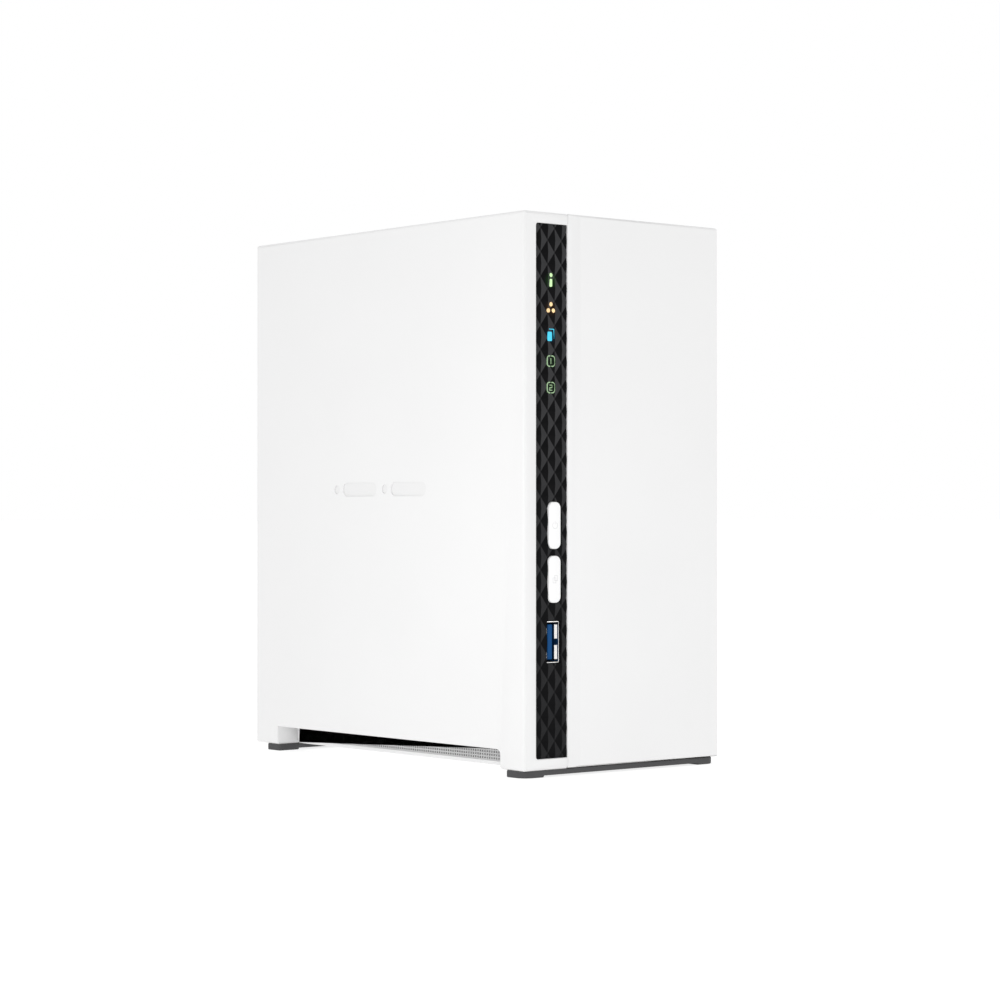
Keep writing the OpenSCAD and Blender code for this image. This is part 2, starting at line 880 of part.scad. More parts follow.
module rear_usb_shell_1() {
    color("silver") usb_shell(rear_usb_z[0], port_mouth_y, 1);
}

module rear_usb_shell_2() {
    color("silver") usb_shell(rear_usb_z[1], port_mouth_y, 1);
}

module rear_usb_tongue_1() {
    color("royalblue") usb_tongue(rear_usb_z[0], port_mouth_y, 1);
}

module rear_usb_tongue_2() {
    color("royalblue") usb_tongue(rear_usb_z[1], port_mouth_y, 1);
}

module board_screws() {
    color("silver") {
        for (p = board_posts) to_right(board_x1, p[0], p[1]) screw(2.7, 1.7, screw_r, 8);
        for (p = backplane_posts) translate([p[0], p[1], backplane_z1]) screw(2.7, 1.7, screw_r, 8);
    }
}

// ---------------------------------------------------------------- drives

module backplane_board() {
    color("darkgreen") difference() {
        box(backplane_x[0], backplane_x[1], backplane_y[0], backplane_y[1],
            backplane_z0, backplane_z1);
        for (p = backplane_posts) rod_z(backplane_z0 - 1, backplane_z1 + 1, p[0], p[1], 1.7);
    }
}

module riser_connector() {
    color("ivory") box(board_x1, backplane_x[0] + 4.8, riser_y[0], riser_y[1],
        backplane_z1, riser_z1);
}

// Drive socket on the backplane: a block with a contact tongue
module sata_socket(x) {
    xc = x + sata_dx;
    color("black") union() {
        box(xc - sata_t / 2, xc + sata_t / 2, sata_y - sata_w / 2, sata_y + sata_w / 2,
            backplane_z1, sata_top);
        box(xc - 0.6, xc + 0.6, sata_y - 18.5, sata_y + 18.5, sata_top - eps, sata_tongue_z);
    }
}

module sata_socket_1() {
    sata_socket(drive_x[0]);
}

module sata_socket_2() {
    sata_socket(drive_x[1]);
}

module drive_outline(inset) {
    round_rect(drive_y0 + inset, drive_z0 + inset, drive_w - 2 * inset, drive_l - 2 * inset, 3);
}

module drive_casting(x) {
    x0 = x + drive_circuit_t;
    x1 = x + drive_t - drive_lid_t;
    color("darkgray") difference() {
        prism_x(x0, x1) drive_outline(0);
        prism_x(x0 - 1, x0 + 3) drive_outline(5);
        prism_x(x0 + 16, x1 + 1) difference() {
            translate([drive_y0 - 1, drive_z0 - 1]) square([drive_w + 2, drive_l + 2]);
            drive_outline(1.5);
        }
        box(x0 - 1, x + 7, sata_y - sata_w / 2 - 0.2, sata_y + sata_w / 2 + 0.2,
            drive_z0 - 1, drive_z0 + 6);
        for (z = drive_hole_z) {
            rod_y(drive_y0 - 1, drive_y0 + 5, x + drive_hole_x, drive_z0 + z, 1.55);
            rod_y(drive_y0 + drive_w - 5, drive_y0 + drive_w + 1, x + drive_hole_x, drive_z0 + z, 1.55);
        }
    }
}

module drive_1_casting() {
    drive_casting(drive_x[0]);
}

module drive_2_casting() {
    drive_casting(drive_x[1]);
}

// Pressed steel lid with its raised centre
module drive_lid(x) {
    x1 = x + drive_t;
    color("silver") union() {
        prism_x(x1 - drive_lid_t, x1 - 0.5) drive_outline(1.8);
        prism_x(x1 - 0.6, x1) {
            drive_outline(9);
        }
    }
}

module drive_1_lid() {
    drive_lid(drive_x[0]);
}

module drive_2_lid() {
    drive_lid(drive_x[1]);
}

// Circuit board of the drive with its chips and the plug at the lower end
module drive_circuit(x) {
    x1 = x + drive_circuit_t;
    slot_x = x + sata_dx;
    color("darkslategray") difference() {
        union() {
            prism_x(x, x1) round_rect(drive_y0 + 2, drive_z0, drive_w - 4, 104, 2);
            box(x1 - eps, x1 + 2.4, sata_y - 8, sata_y + 8, drive_z0 + 40, drive_z0 + 56);
            box(x1 - eps, x1 + 2, sata_y + 16, sata_y + 26, drive_z0 + 44, drive_z0 + 58);
            box(x1 - eps, x + 6.8, sata_y - sata_w / 2, sata_y + sata_w / 2, drive_z0, drive_z0 + 5.8);
        }
        box(slot_x - 1, slot_x + 1, sata_y - 19, sata_y + 19, drive_z0 - 1, drive_z0 + 3.6);
    }
}

module drive_1_circuit() {
    drive_circuit(drive_x[0]);
}

module drive_2_circuit() {
    drive_circuit(drive_x[1]);
}

module drive_screws() {
    color("silver") for (x = drive_x, z = drive_hole_z) {
        to_front(x + drive_hole_x, cage_y0, drive_z0 + z) screw(2.9, 1.5, 1.5, 5);
        to_rear(x + drive_hole_x, cage_y1, drive_z0 + z) screw(2.9, 1.5, 1.5, 5);
    }
}

// Cage of folded steel: a web on the left, a plate in front and a plate behind
module drive_cage() {
    color("gainsboro") difference() {
        union() {
            box(cage_x0, cage_x0 + sheet, cage_y0, cage_y1, cage_z0, cage_z1);
            box(cage_x0, cage_x1, cage_y0, cage_y0 + sheet, cage_z0, cage_z1);
            box(cage_x0, cage_x1, cage_y1 - sheet, cage_y1, cage_z0, cage_z1);
            for (l = cage_leg_x) {
                box(l[0], l[1], cage_y0, cage_y0 + sheet, cage_foot_z, cage_z0 + eps);
                box(l[0], l[1], cage_y1 - sheet, cage_y1, cage_foot_z, cage_z0 + eps);
                box(l[0], l[1], cage_y0, cage_y0 + cage_foot, cage_foot_z, cage_foot_z + sheet);
                box(l[0], l[1], cage_y1 - sheet, cage_y1 + cage_foot - sheet,
                    cage_foot_z, cage_foot_z + sheet);
            }
        }
        cage_windows();
        for (x = drive_x, z = drive_hole_z)
            rod_y(cage_y0 - 1, cage_y1 + 1, x + drive_hole_x, drive_z0 + z, 1.7);
        for (x = cage_foot_x, y = cage_foot_y) rod_z(cage_foot_z - 1, cage_foot_z + 2, x, y, 1.7);
    }
}

module cage_windows() {
    prism_x(cage_x0 - 1, cage_x0 + sheet + 1) for (i = [0:2])
        round_rect(cage_y0 + 12, cage_z0 + 12 + i * 45, cage_y1 - cage_y0 - 24, 39, 3);
    prism_y(cage_y0 - 1, cage_y1 + 1) for (x = drive_x, i = [0:2])
        round_rect(x + 3, cage_z0 + [8, 39, 84][i], 20, [16, 39, 39][i], 2);
}

module cage_screws() {
    color("silver") for (x = cage_foot_x, y = cage_foot_y)
        translate([x, y, cage_foot_z + sheet]) screw(2.7, 1.7, screw_r, 6.5);
}

// ---------------------------------------------------------------- fan and rear

module fan_frame() {
    half = fan_size / 2;
    flange = 3.5;
    color("dimgray") difference() {
        union() {
            for (y = [fan_y0, fan_y1 - flange]) prism_y(y, y + flange)
                centred_round_rect(fan_x, fan_z, fan_size, fan_size, 4);
            difference() {
                rod_y(fan_y0, fan_y1, fan_x, fan_z, half - 0.1);
                rod_y(fan_y0 - 1, fan_y1 + 1, fan_x, fan_z, fan_bore_r);
            }
        }
        difference() {
            rod_y(fan_y0 - 1, fan_y1 + 1, fan_x, fan_z, fan_bore_r);
            fan_spider();
        }
        for (i = [-1, 1], j = [-1, 1]) rod_y(
            fan_y0 - 1, fan_y1 + 1, fan_x + i * fan_hole, fan_z + j * fan_hole, 1.7);
    }
}

// Motor seat of the fan: disc, four arms and the bearing tube
module fan_spider() {
    difference() {
        union() {
            rod_y(fan_y1 - 2.5, fan_y1, fan_x, fan_z, fan_hub_r + 0.5);
            rod_y(fan_y1 - 15, fan_y1, fan_x, fan_z, 3.4);
            for (a = [45, 135]) translate([fan_x, fan_y1 - 2.5, fan_z]) rotate([0, a, 0])
                translate([-fan_bore_r - 0.5, 0, -1.5]) cube([2 * fan_bore_r + 1, 2.5, 3]);
        }
        rod_y(fan_y1 - 16, fan_y1 - 1.2, fan_x, fan_z, fan_shaft_r + 0.08);
    }
}

module fan_rotor() {
    cup_y0 = fan_y0 + 1.5;
    cup_y1 = fan_y1 - 3.5;
    color("darkslategray") difference() {
        union() {
            rod_y(cup_y0, cup_y1, fan_x, fan_z, fan_hub_r);
            intersection() {
                rod_y(fan_y0 + 1, fan_y1 - 3.2, fan_x, fan_z, fan_tip_r);
                for (i = [0:fan_blades - 1]) fan_blade(i * 360 / fan_blades);
            }
        }
        difference() {
            rod_y(cup_y0 + 1.5, fan_y1, fan_x, fan_z, fan_hub_r - 1.3);
            rod_y(cup_y0, fan_y1 - 1.5, fan_x, fan_z, fan_shaft_r);
        }
    }
}

module fan_blade(angle) {
    chord = fan_t - 3;
    blade_t = 1.4;
    translate([fan_x, fan_y0 + fan_t / 2 - 1, fan_z]) rotate([0, angle, 0]) rotate([50, 0, 0])
        translate([fan_hub_r - 1, -chord / 2, -blade_t / 2])
            cube([fan_tip_r - fan_hub_r + 3, chord, blade_t]);
}

// Lead of the fan, bent over the board edge down to its plug
module fan_cable() {
    r = 1.1;
    y = fan_y0 + 5.7;
    xa = board_x1 + 2.5;
    xb = board_x0 - 3;
    za = fan_z - fan_size / 2;
    zb = board_step_z + 4;
    color("black") union() {
        rod_z(zb, za, xa, y, r);
        rod_x(xb, xa, y, zb, r);
        rod_z(plug_z1, zb, xb, y, r);
        translate([xa, y, zb]) sphere(r);
        translate([xb, y, zb]) sphere(r);
    }
}

module fan_plug() {
    y = fan_y0 + 5.7;
    color("ivory") box(board_x0 - 5, board_x0, y - 3.6, y + 3.6, plug_z1 - 6, plug_z1);
}

module fan_screws() {
    color("silver") for (i = [-1, 1], j = [-1, 1])
        to_rear(fan_x + i * fan_hole, panel_y1 - head_depth, fan_z + j * fan_hole)
            screw(3.2, 1.6, 1.65, 8);
}

module case_screws() {
    color("silver") for (z = case_screw_z)
        to_rear(case_screw_x, panel_y1 - head_depth, z) screw(3.6, 1.6, screw_r, 9);
}

module panel_screws() {
    color("silver") for (p = panel_screws_at)
        to_rear(p[0], panel_y1 - head_depth, p[1]) screw(2.6, 1.6, screw_r, 7);
}

// Steel plate behind the security slot
module lock_plate() {
    color("silver") prism_y(panel_y0 - 1.2, panel_y0) difference() {
        centred_round_rect(lock_x, lock_z, 10, 13, 1);
        centred_round_rect(lock_x, lock_z, 3.2, 7.2, 0.6);
    }
}

// ---------------------------------------------------------------- base

module vent_grille() {
    y0 = y_gap0 + window_margin;
    y1 = y_gap1 - window_margin;
    z_mid = (rebate_z0 + rebate_z1) / 2;
    columns = floor((y1 - y0 - 3) / grille_pitch / 2);
    prism_x(-x_gap + 0.1, grille_t - x_gap) difference() {
        translate([y0 + 0.05, rebate_z0 + 0.05])
            square([y1 - y0 - 0.1, rebate_z1 - rebate_z0 - 0.1]);
        for (i = [-columns:columns], j = [-1.5:1.5])
            translate([(y0 + y1) / 2 + i * grille_pitch - grille_hole / 2,
                z_mid + j * 1.1 - grille_hole / 2]) square(grille_hole);
    }
}

module left_vent_grille() {
    color("gray") vent_grille();
}

module right_vent_grille() {
    color("gray") mirror([1, 0, 0]) vent_grille();
}

// Rubber bar across the width; only its two end pads reach the ground
module foot_bar(y0, depth, front_r) {
    x0 = x_left + 0.5;
    x1 = x_right - 0.5;
    pad = 9;
    lift = 0.6;
    rear_r = 0.6;
    prism_z(0, foot_h) difference() {
        union() {
            for (x = [x0 + front_r, x1 - front_r]) translate([x, y0 + front_r]) circle(front_r);
            for (x = [x0 + rear_r, x1 - rear_r]) translate([x, y0 + depth - rear_r]) circle(rear_r);
            translate([x0 + front_r, y0]) square([x1 - x0 - 2 * front_r, depth]);
            translate([x0, y0 + front_r]) square([x1 - x0, depth - front_r - rear_r]);
        }
        translate([x0 + pad, y0 - 1]) square([x1 - x0 - 2 * pad, depth + 2]);
    }
    prism_z(lift, foot_h)
        translate([x0 + pad - eps, y0]) square([x1 - x0 - 2 * pad + 2 * eps, depth]);
}

module front_foot() {
    color("dimgray") foot_bar(y_front + 0.7, foot_depth, 4.4);
}

module rear_foot() {
    color("dimgray") foot_bar(y_rear - 14.7, foot_depth - 1.5, 0.7);
}

left_case();
right_cover();
rear_panel();
front_strip();
light_guide();
status_lens();
network_lens();
copy_lens();
drive_1_lens();
drive_2_lens();
power_button();
copy_button();
reset_button();
power_switch();
copy_switch();
reset_switch();
indicator_leds();
main_board();
processor();
heatsink();
memory_chips();
capacitors();
inductors();
buzzer();
coin_cell();
coin_cell_holder();
network_jack();
power_jack();
front_usb_shell();
front_usb_tongue();
rear_usb_shell_1();
rear_usb_shell_2();
rear_usb_tongue_1();
rear_usb_tongue_2();
board_screws();
backplane_board();
riser_connector();
sata_socket_1();
sata_socket_2();
drive_cage();
drive_1_casting();
drive_2_casting();
drive_1_lid();
drive_2_lid();
drive_1_circuit();
drive_2_circuit();
drive_screws();
cage_screws();
fan_frame();
fan_rotor();
fan_cable();
fan_plug();
fan_screws();
case_screws();
panel_screws();
lock_plate();
left_vent_grille();
right_vent_grille();
front_foot();
rear_foot();
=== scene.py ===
"""Looks of an upright two-bay desktop network storage box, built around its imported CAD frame.

Every length is in metres and every piece lies in the frame of the CAD model: +X to the right,
+Y to the rear, +Z up, with the front face looking along -Y.
"""

import logging
import math
import random
from dataclasses import dataclass, field
from enum import Enum
from typing import Any

import bmesh
import bpy
from mathutils import Matrix, Vector


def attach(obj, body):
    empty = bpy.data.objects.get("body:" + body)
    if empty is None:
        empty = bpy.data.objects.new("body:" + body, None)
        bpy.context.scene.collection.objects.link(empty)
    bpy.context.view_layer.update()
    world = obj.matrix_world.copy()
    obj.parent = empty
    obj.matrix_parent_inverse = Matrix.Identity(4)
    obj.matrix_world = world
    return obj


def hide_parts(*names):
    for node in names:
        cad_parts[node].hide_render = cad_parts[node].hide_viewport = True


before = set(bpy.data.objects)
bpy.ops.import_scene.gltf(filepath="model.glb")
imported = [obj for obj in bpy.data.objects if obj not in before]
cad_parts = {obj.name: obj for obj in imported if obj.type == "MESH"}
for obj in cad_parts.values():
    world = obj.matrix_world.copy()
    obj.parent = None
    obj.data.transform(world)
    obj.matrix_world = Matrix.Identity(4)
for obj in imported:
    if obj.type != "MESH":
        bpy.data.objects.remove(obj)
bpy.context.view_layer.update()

MM = 0.001
LOG = logging.getLogger("storage_box")
Colour = tuple[float, float, float]


# ------------------------------------------------------------------ shader graph


class Graph:
    """Short-hand for filling a node tree."""

    def __init__(self, tree: bpy.types.NodeTree) -> None:
        """Keeps the tree.

        Args:
            tree: the shader tree to fill.
        """
        self.tree = tree

    def add(self, kind: str, inputs: dict[Any, Any] | None = None, **settings: Any) -> Any:
        """Adds one node.

        Args:
            kind: the node's type name.
            inputs: socket name or index to a value, or to an output socket that is linked in.
            settings: attributes of the node itself.

        Returns:
            The new node.
        """
        node = self.tree.nodes.new(kind)
        for key, value in settings.items():
            setattr(node, key, value)
        for key, value in (inputs or {}).items():
            if isinstance(value, bpy.types.NodeSocket):
                self.tree.links.new(value, node.inputs[key])
            else:
                node.inputs[key].default_value = value
        return node

    def math(self, operation: str, *values: Any) -> Any:
        """Adds a Math node and returns its output."""
        return self.add("ShaderNodeMath", dict(enumerate(values)), operation=operation).outputs[0]

    def mix(self, factor: Any, first: Any, second: Any) -> Any:
        """Adds a colour mix and returns its output."""
        made = self.add(
            "ShaderNodeMix", {0: factor, 6: first, 7: second}, data_type="RGBA", clamp_factor=True
        )
        return made.outputs[2]

    def ramp(self, value: Any, low: float, high: float) -> Any:
        """Maps low..high of a value onto 0..1, clamped."""
        made = self.add("ShaderNodeMapRange", {0: value, 1: low, 2: high})
        return made.outputs[0]


def rgba(colour: Colour) -> tuple[float, float, float, float]:
    """Adds a full alpha to a colour."""
    return (*colour, 1.0)


def new_group(
    name: str, inputs: dict[str, tuple[str, Any]], outputs: dict[str, str]
) -> tuple[Any, Graph, Any, Any]:
    """Starts a shader node group with named sockets.

    Args:
        name: the group's name.
        inputs: socket name to (socket kind, default value).
        outputs: socket name to socket kind.

    Returns:
        The group, its graph, its input node and its output node.
    """
    group = bpy.data.node_groups.new(name, "ShaderNodeTree")
    for label, (kind, default) in inputs.items():
        made = group.interface.new_socket(label, in_out="INPUT", socket_type="NodeSocket" + kind)
        made.default_value = default
    for label, kind in outputs.items():
        group.interface.new_socket(label, in_out="OUTPUT", socket_type="NodeSocket" + kind)
    graph = Graph(group)
    return group, graph, graph.add("NodeGroupInput"), graph.add("NodeGroupOutput")


class Effect(Enum):
    """The surface effects that several finishes share, each built once as a node group."""

    GRAIN = "moulded_grain"
    BRUSHED = "brushed_lines"
    DUST = "settled_dust"
    TRACES = "board_traces"

    def group(self) -> Any:
        """Returns the node group, building it the first time."""
        found = bpy.data.node_groups.get(self.value)
        if found:
            return found
        makers = {
            Effect.GRAIN: grain_group,
            Effect.BRUSHED: brushed_group,
            Effect.DUST: dust_group,
            Effect.TRACES: traces_group,
        }
        return makers[self]()


SURFACE_SOCKETS = {"Color": "Color", "Roughness": "Float", "Height": "Float"}


def grain_group() -> Any:
    """Spark-eroded grain of a moulding: a fine height, with slow colour and gloss drift.

    Returns:
        The node group.
    """
    group, g, given, out = new_group(
        Effect.GRAIN.value,
        {
            "Color": ("Color", (0.8, 0.8, 0.8, 1)),
            "Tint": ("Color", (0.7, 0.7, 0.7, 1)),
            "Roughness": ("Float", 0.5),
            "Spread": ("Float", 0.06),
            "Scale": ("Float", 2200.0),
            "Drift": ("Float", 0.3),
        },
        SURFACE_SOCKETS,
    )
    place = g.add("ShaderNodeTexCoord").outputs["Object"]
    fine = g.add(
        "ShaderNodeTexNoise", {"Vector": place, "Scale": given.outputs["Scale"], "Detail": 3.0}
    ).outputs[0]
    slow = g.add("ShaderNodeTexNoise", {"Vector": place, "Scale": 24.0, "Detail": 2.0}).outputs[0]
    drift = g.math("MULTIPLY", g.ramp(slow, 0.35, 0.65), given.outputs["Drift"])
    g.tree.links.new(g.mix(drift, given.outputs["Color"], given.outputs["Tint"]), out.inputs[0])
    centred = g.math("SUBTRACT", g.math("ADD", fine, slow), 1.0)
    rough = g.math("ADD", given.outputs["Roughness"], g.math("MULTIPLY", centred, given.outputs["Spread"]))
    g.tree.links.new(rough, out.inputs[1])
    g.tree.links.new(fine, out.inputs[2])
    return group


def brushed_group() -> Any:
    """Rolled or brushed metal: noise drawn out along one axis by a stretch vector.

    Returns:
        The node group.
    """
    group, g, given, out = new_group(
        Effect.BRUSHED.value,
        {
            "Color": ("Color", (0.6, 0.6, 0.6, 1)),
            "Tint": ("Color", (0.5, 0.5, 0.5, 1)),
            "Roughness": ("Float", 0.35),
            "Spread": ("Float", 0.15),
            "Stretch": ("Vector", (2500.0, 2500.0, 60.0)),
        },
        SURFACE_SOCKETS,
    )
    place = g.add("ShaderNodeTexCoord").outputs["Object"]
    drawn = g.add(
        "ShaderNodeVectorMath", {0: place, 1: given.outputs["Stretch"]}, operation="MULTIPLY"
    ).outputs[0]
    lines = g.add("ShaderNodeTexNoise", {"Vector": drawn, "Scale": 1.0, "Detail": 4.0}).outputs[0]
    cloud = g.add("ShaderNodeTexNoise", {"Vector": place, "Scale": 45.0, "Detail": 3.0}).outputs[0]
    tone = g.ramp(g.math("MULTIPLY_ADD", cloud, 0.25, lines), 0.45, 0.85)
    g.tree.links.new(g.mix(tone, given.outputs["Color"], given.outputs["Tint"]), out.inputs[0])
    shift = g.math("MULTIPLY", g.math("SUBTRACT", lines, 0.5), given.outputs["Spread"])
    g.tree.links.new(g.math("ADD", given.outputs["Roughness"], shift), out.inputs[1])
    g.tree.links.new(lines, out.inputs[2])
    return group


def dust_group() -> Any:
    """A thin film of dust that lies on surfaces facing up.

    Returns:
        The node group, with the colour and roughness after dusting.
    """
    group, g, given, out = new_group(
        Effect.DUST.value,
        {
            "Color": ("Color", (0.8, 0.8, 0.8, 1)),
            "Roughness": ("Float", 0.5),
            "Amount": ("Float", 0.15),
        },
        {"Color": "Color", "Roughness": "Float"},
    )
    up = g.add("ShaderNodeSeparateXYZ", {0: g.add("ShaderNodeNewGeometry").outputs["Normal"]})
    place = g.add("ShaderNodeTexCoord").outputs["Object"]
    patchy = g.add("ShaderNodeTexNoise", {"Vector": place, "Scale": 180.0, "Detail": 5.0}).outputs[0]
    cover = g.math("MULTIPLY", g.ramp(up.outputs[2], 0.5, 0.95), g.ramp(patchy, 0.35, 0.7))
    cover = g.math("MULTIPLY", cover, given.outputs["Amount"])
    film = (0.58, 0.56, 0.53, 1.0)
    g.tree.links.new(g.mix(cover, given.outputs["Color"], film), out.inputs[0])
    matt = g.math("ADD", given.outputs["Roughness"], g.math("MULTIPLY", cover, 0.4))
    g.tree.links.new(matt, out.inputs[1])
    return group


def traces_group() -> Any:
    """Copper tracks and pads under solder mask, laid out on the board's own plane.

    Returns:
        The node group.
    """
    group, g, given, out = new_group(
        Effect.TRACES.value,
        {
            "Mask": ("Color", (0.02, 0.12, 0.05, 1)),
            "Track": ("Color", (0.04, 0.2, 0.08, 1)),
            "Pad": ("Color", (0.7, 0.66, 0.5, 1)),
            "Along": ("Vector", (1.0, 0.0, 0.0)),
            "Across": ("Vector", (0.0, 1.0, 0.0)),
        },
        SURFACE_SOCKETS,
    )
    place = g.add("ShaderNodeTexCoord").outputs["Object"]
    u, v = (
        g.add("ShaderNodeVectorMath", {0: place, 1: given.outputs[way]}, operation="DOT_PRODUCT").outputs[1]
        for way in ("Along", "Across")
    )
    flat = g.add("ShaderNodeCombineXYZ", {0: u, 1: v}).outputs[0]
    region = g.add(
        "ShaderNodeTexVoronoi", {"Vector": flat, "Scale": 90.0}, distance="MANHATTAN"
    ).outputs["Color"]
    pick = g.add("ShaderNodeSeparateColor", {0: region})
    lines_u = g.math("PINGPONG", g.math("MULTIPLY", u, 1400.0), 1.0)
    lines_v = g.math("PINGPONG", g.math("MULTIPLY", v, 1400.0), 1.0)
    turned = g.math("GREATER_THAN", pick.outputs[0], 0.5)
    track = g.add("ShaderNodeMix", {0: turned, 2: lines_u, 3: lines_v}).outputs[0]
    track = g.math("MULTIPLY", g.ramp(track, 0.5, 0.62), g.math("GREATER_THAN", pick.outputs[1], 0.35))
    dots = g.add("ShaderNodeTexVoronoi", {"Vector": flat, "Scale": 420.0, "Randomness": 0.75})
    via = g.math("LESS_THAN", dots.outputs["Distance"], 0.13)
    base = g.mix(track, given.outputs["Mask"], given.outputs["Track"])
    g.tree.links.new(g.mix(via, base, given.outputs["Pad"]), out.inputs[0])
    g.tree.links.new(g.math("SUBTRACT", 0.42, g.math("MULTIPLY", track, 0.08)), out.inputs[1])
    g.tree.links.new(g.math("ADD", track, via), out.inputs[2])
    return group


# ------------------------------------------------------------------ finishes


@dataclass(frozen=True)
class Finish:
    """A material of the object, made once and shared by the pieces that wear it."""

    slot: str
    colour: Colour
    roughness: float = 0.5
    name: str = ""

    def material(self) -> bpy.types.Material:
        """Returns the material, making it the first time."""
        found = bpy.data.materials.get(self.label())
        return found or self._make()

    def label(self) -> str:
        """The material's own name."""
        return "finish_" + (self.name or self.slot)

    def _make(self) -> bpy.types.Material:
        """Builds the node tree.

        Returns:
            The new material.
        """
        made = bpy.data.materials.new(self.label())
        made.use_nodes = True
        made.node_tree.nodes.clear()
        g = Graph(made.node_tree)
        given = {"Base Color": rgba(self.colour), "Roughness": self.roughness}
        shader = g.add("ShaderNodeBsdfPrincipled", given)
        g.add("ShaderNodeOutputMaterial", {0: shader.outputs[0]})
        made.diffuse_color = rgba(self.colour)
        self.dress(g, shader)
        return made

    def dress(self, g: Graph, shader: Any) -> None:
        """Adds the finish's own nodes.

        Args:
            g: the material's graph.
            shader: its Principled node.
        """

    def bump(self, g: Graph, shader: Any, height: Any, depth: float, strength: float = 1.0) -> None:
        """Feeds a height into the shader's normal.

        Args:
            g: the material's graph.
            shader: its Principled node.
            height: the height socket.
            depth: the height's full range, in metres.
            strength: how much of it shows.
        """
        node = g.add("ShaderNodeBump", {"Height": height, "Distance": depth, "Strength": strength})
        g.tree.links.new(node.outputs[0], shader.inputs["Normal"])


@dataclass(frozen=True)
class Moulded(Finish):
    """An injection-moulded plastic or rubber."""

    tint: float = 0.96
    scale: float = 2200.0
    depth: float = 0.00001
    spread: float = 0.06
    specular: float = 0.5
    dust: float = 0.0

    def dress(self, g: Graph, shader: Any) -> None:
        """Adds grain, gloss drift and a little dust."""
        tinted = tuple(c * self.tint for c in self.colour)
        grain = g.add("ShaderNodeGroup", node_tree=Effect.GRAIN.group())
        for key, value in {
            "Color": rgba(self.colour),
            "Tint": rgba(tinted),
            "Roughness": self.roughness,
            "Spread": self.spread,
            "Scale": self.scale,
            "Drift": 1.0,
        }.items():
            grain.inputs[key].default_value = value
        colour, rough = grain.outputs["Color"], grain.outputs["Roughness"]
        if self.dust:
            film = g.add("ShaderNodeGroup", node_tree=Effect.DUST.group())
            film.inputs["Amount"].default_value = self.dust
            g.tree.links.new(colour, film.inputs["Color"])
            g.tree.links.new(rough, film.inputs["Roughness"])
            colour, rough = film.outputs["Color"], film.outputs["Roughness"]
        g.tree.links.new(colour, shader.inputs["Base Color"])
        g.tree.links.new(rough, shader.inputs["Roughness"])
        shader.inputs["Specular IOR Level"].default_value = self.specular
        self.bump(g, shader, grain.outputs["Height"], self.depth)


@dataclass(frozen=True)
class Metal(Finish):
    """A bare or plated metal with rolling or brushing lines."""

    tint: float = 0.82
    stretch: tuple[float, float, float] = (2500.0, 2500.0, 60.0)
    spread: float = 0.18
    depth: float = 0.000008

    def dress(self, g: Graph, shader: Any) -> None:
        """Adds the drawn-out lines."""
        lines = g.add("ShaderNodeGroup", node_tree=Effect.BRUSHED.group())
        for key, value in {
            "Color": rgba(self.colour),
            "Tint": rgba(tuple(c * self.tint for c in self.colour)),
            "Roughness": self.roughness,
            "Spread": self.spread,
            "Stretch": self.stretch,
        }.items():
            lines.inputs[key].default_value = value
        g.tree.links.new(lines.outputs["Color"], shader.inputs["Base Color"])
        g.tree.links.new(lines.outputs["Roughness"], shader.inputs["Roughness"])
        shader.inputs["Metallic"].default_value = 1.0
        self.bump(g, shader, lines.outputs["Height"], self.depth)


@dataclass(frozen=True)
class Laminate(Finish):
    """A circuit board: tracks and pads under a coloured solder mask."""

    track: Colour = (0.05, 0.24, 0.1)
    along: tuple[float, float, float] = (0.0, 1.0, 0.0)
    across: tuple[float, float, float] = (0.0, 0.0, 1.0)

    def dress(self, g: Graph, shader: Any) -> None:
        """Adds the tracks."""
        copper = g.add("ShaderNodeGroup", node_tree=Effect.TRACES.group())
        copper.inputs["Mask"].default_value = rgba(self.colour)
        copper.inputs["Track"].default_value = rgba(self.track)
        copper.inputs["Along"].default_value = self.along
        copper.inputs["Across"].default_value = self.across
        g.tree.links.new(copper.outputs["Color"], shader.inputs["Base Color"])
        g.tree.links.new(copper.outputs["Roughness"], shader.inputs["Roughness"])
        shader.inputs["Coat Weight"].default_value = 0.3
        self.bump(g, shader, copper.outputs["Height"], 0.00004)


@dataclass(frozen=True)
class Lit(Finish):
    """A lens with a light behind it, a little hotter in its middle patches."""

    glow: float = 1.0
    tone: Colour = (0.5, 0.9, 0.4)

    def dress(self, g: Graph, shader: Any) -> None:
        """Adds the glow, uneven as a diffused light is."""
        place = g.add("ShaderNodeTexCoord").outputs["Object"]
        uneven = g.add("ShaderNodeTexNoise", {"Vector": place, "Scale": 500.0, "Detail": 1.0}).outputs[0]
        soft = tuple(c * 0.82 for c in self.tone)
        colour = g.mix(g.ramp(uneven, 0.3, 0.7), rgba(soft), rgba(self.tone))
        g.tree.links.new(colour, shader.inputs["Emission Color"])
        shader.inputs["Emission Strength"].default_value = self.glow


@dataclass(frozen=True)
class PaintedHalo:
    """A painted glow: emission on the relief round one icon, in place of the light the icon spills onto it.
    """

    height: float
    tone: Colour


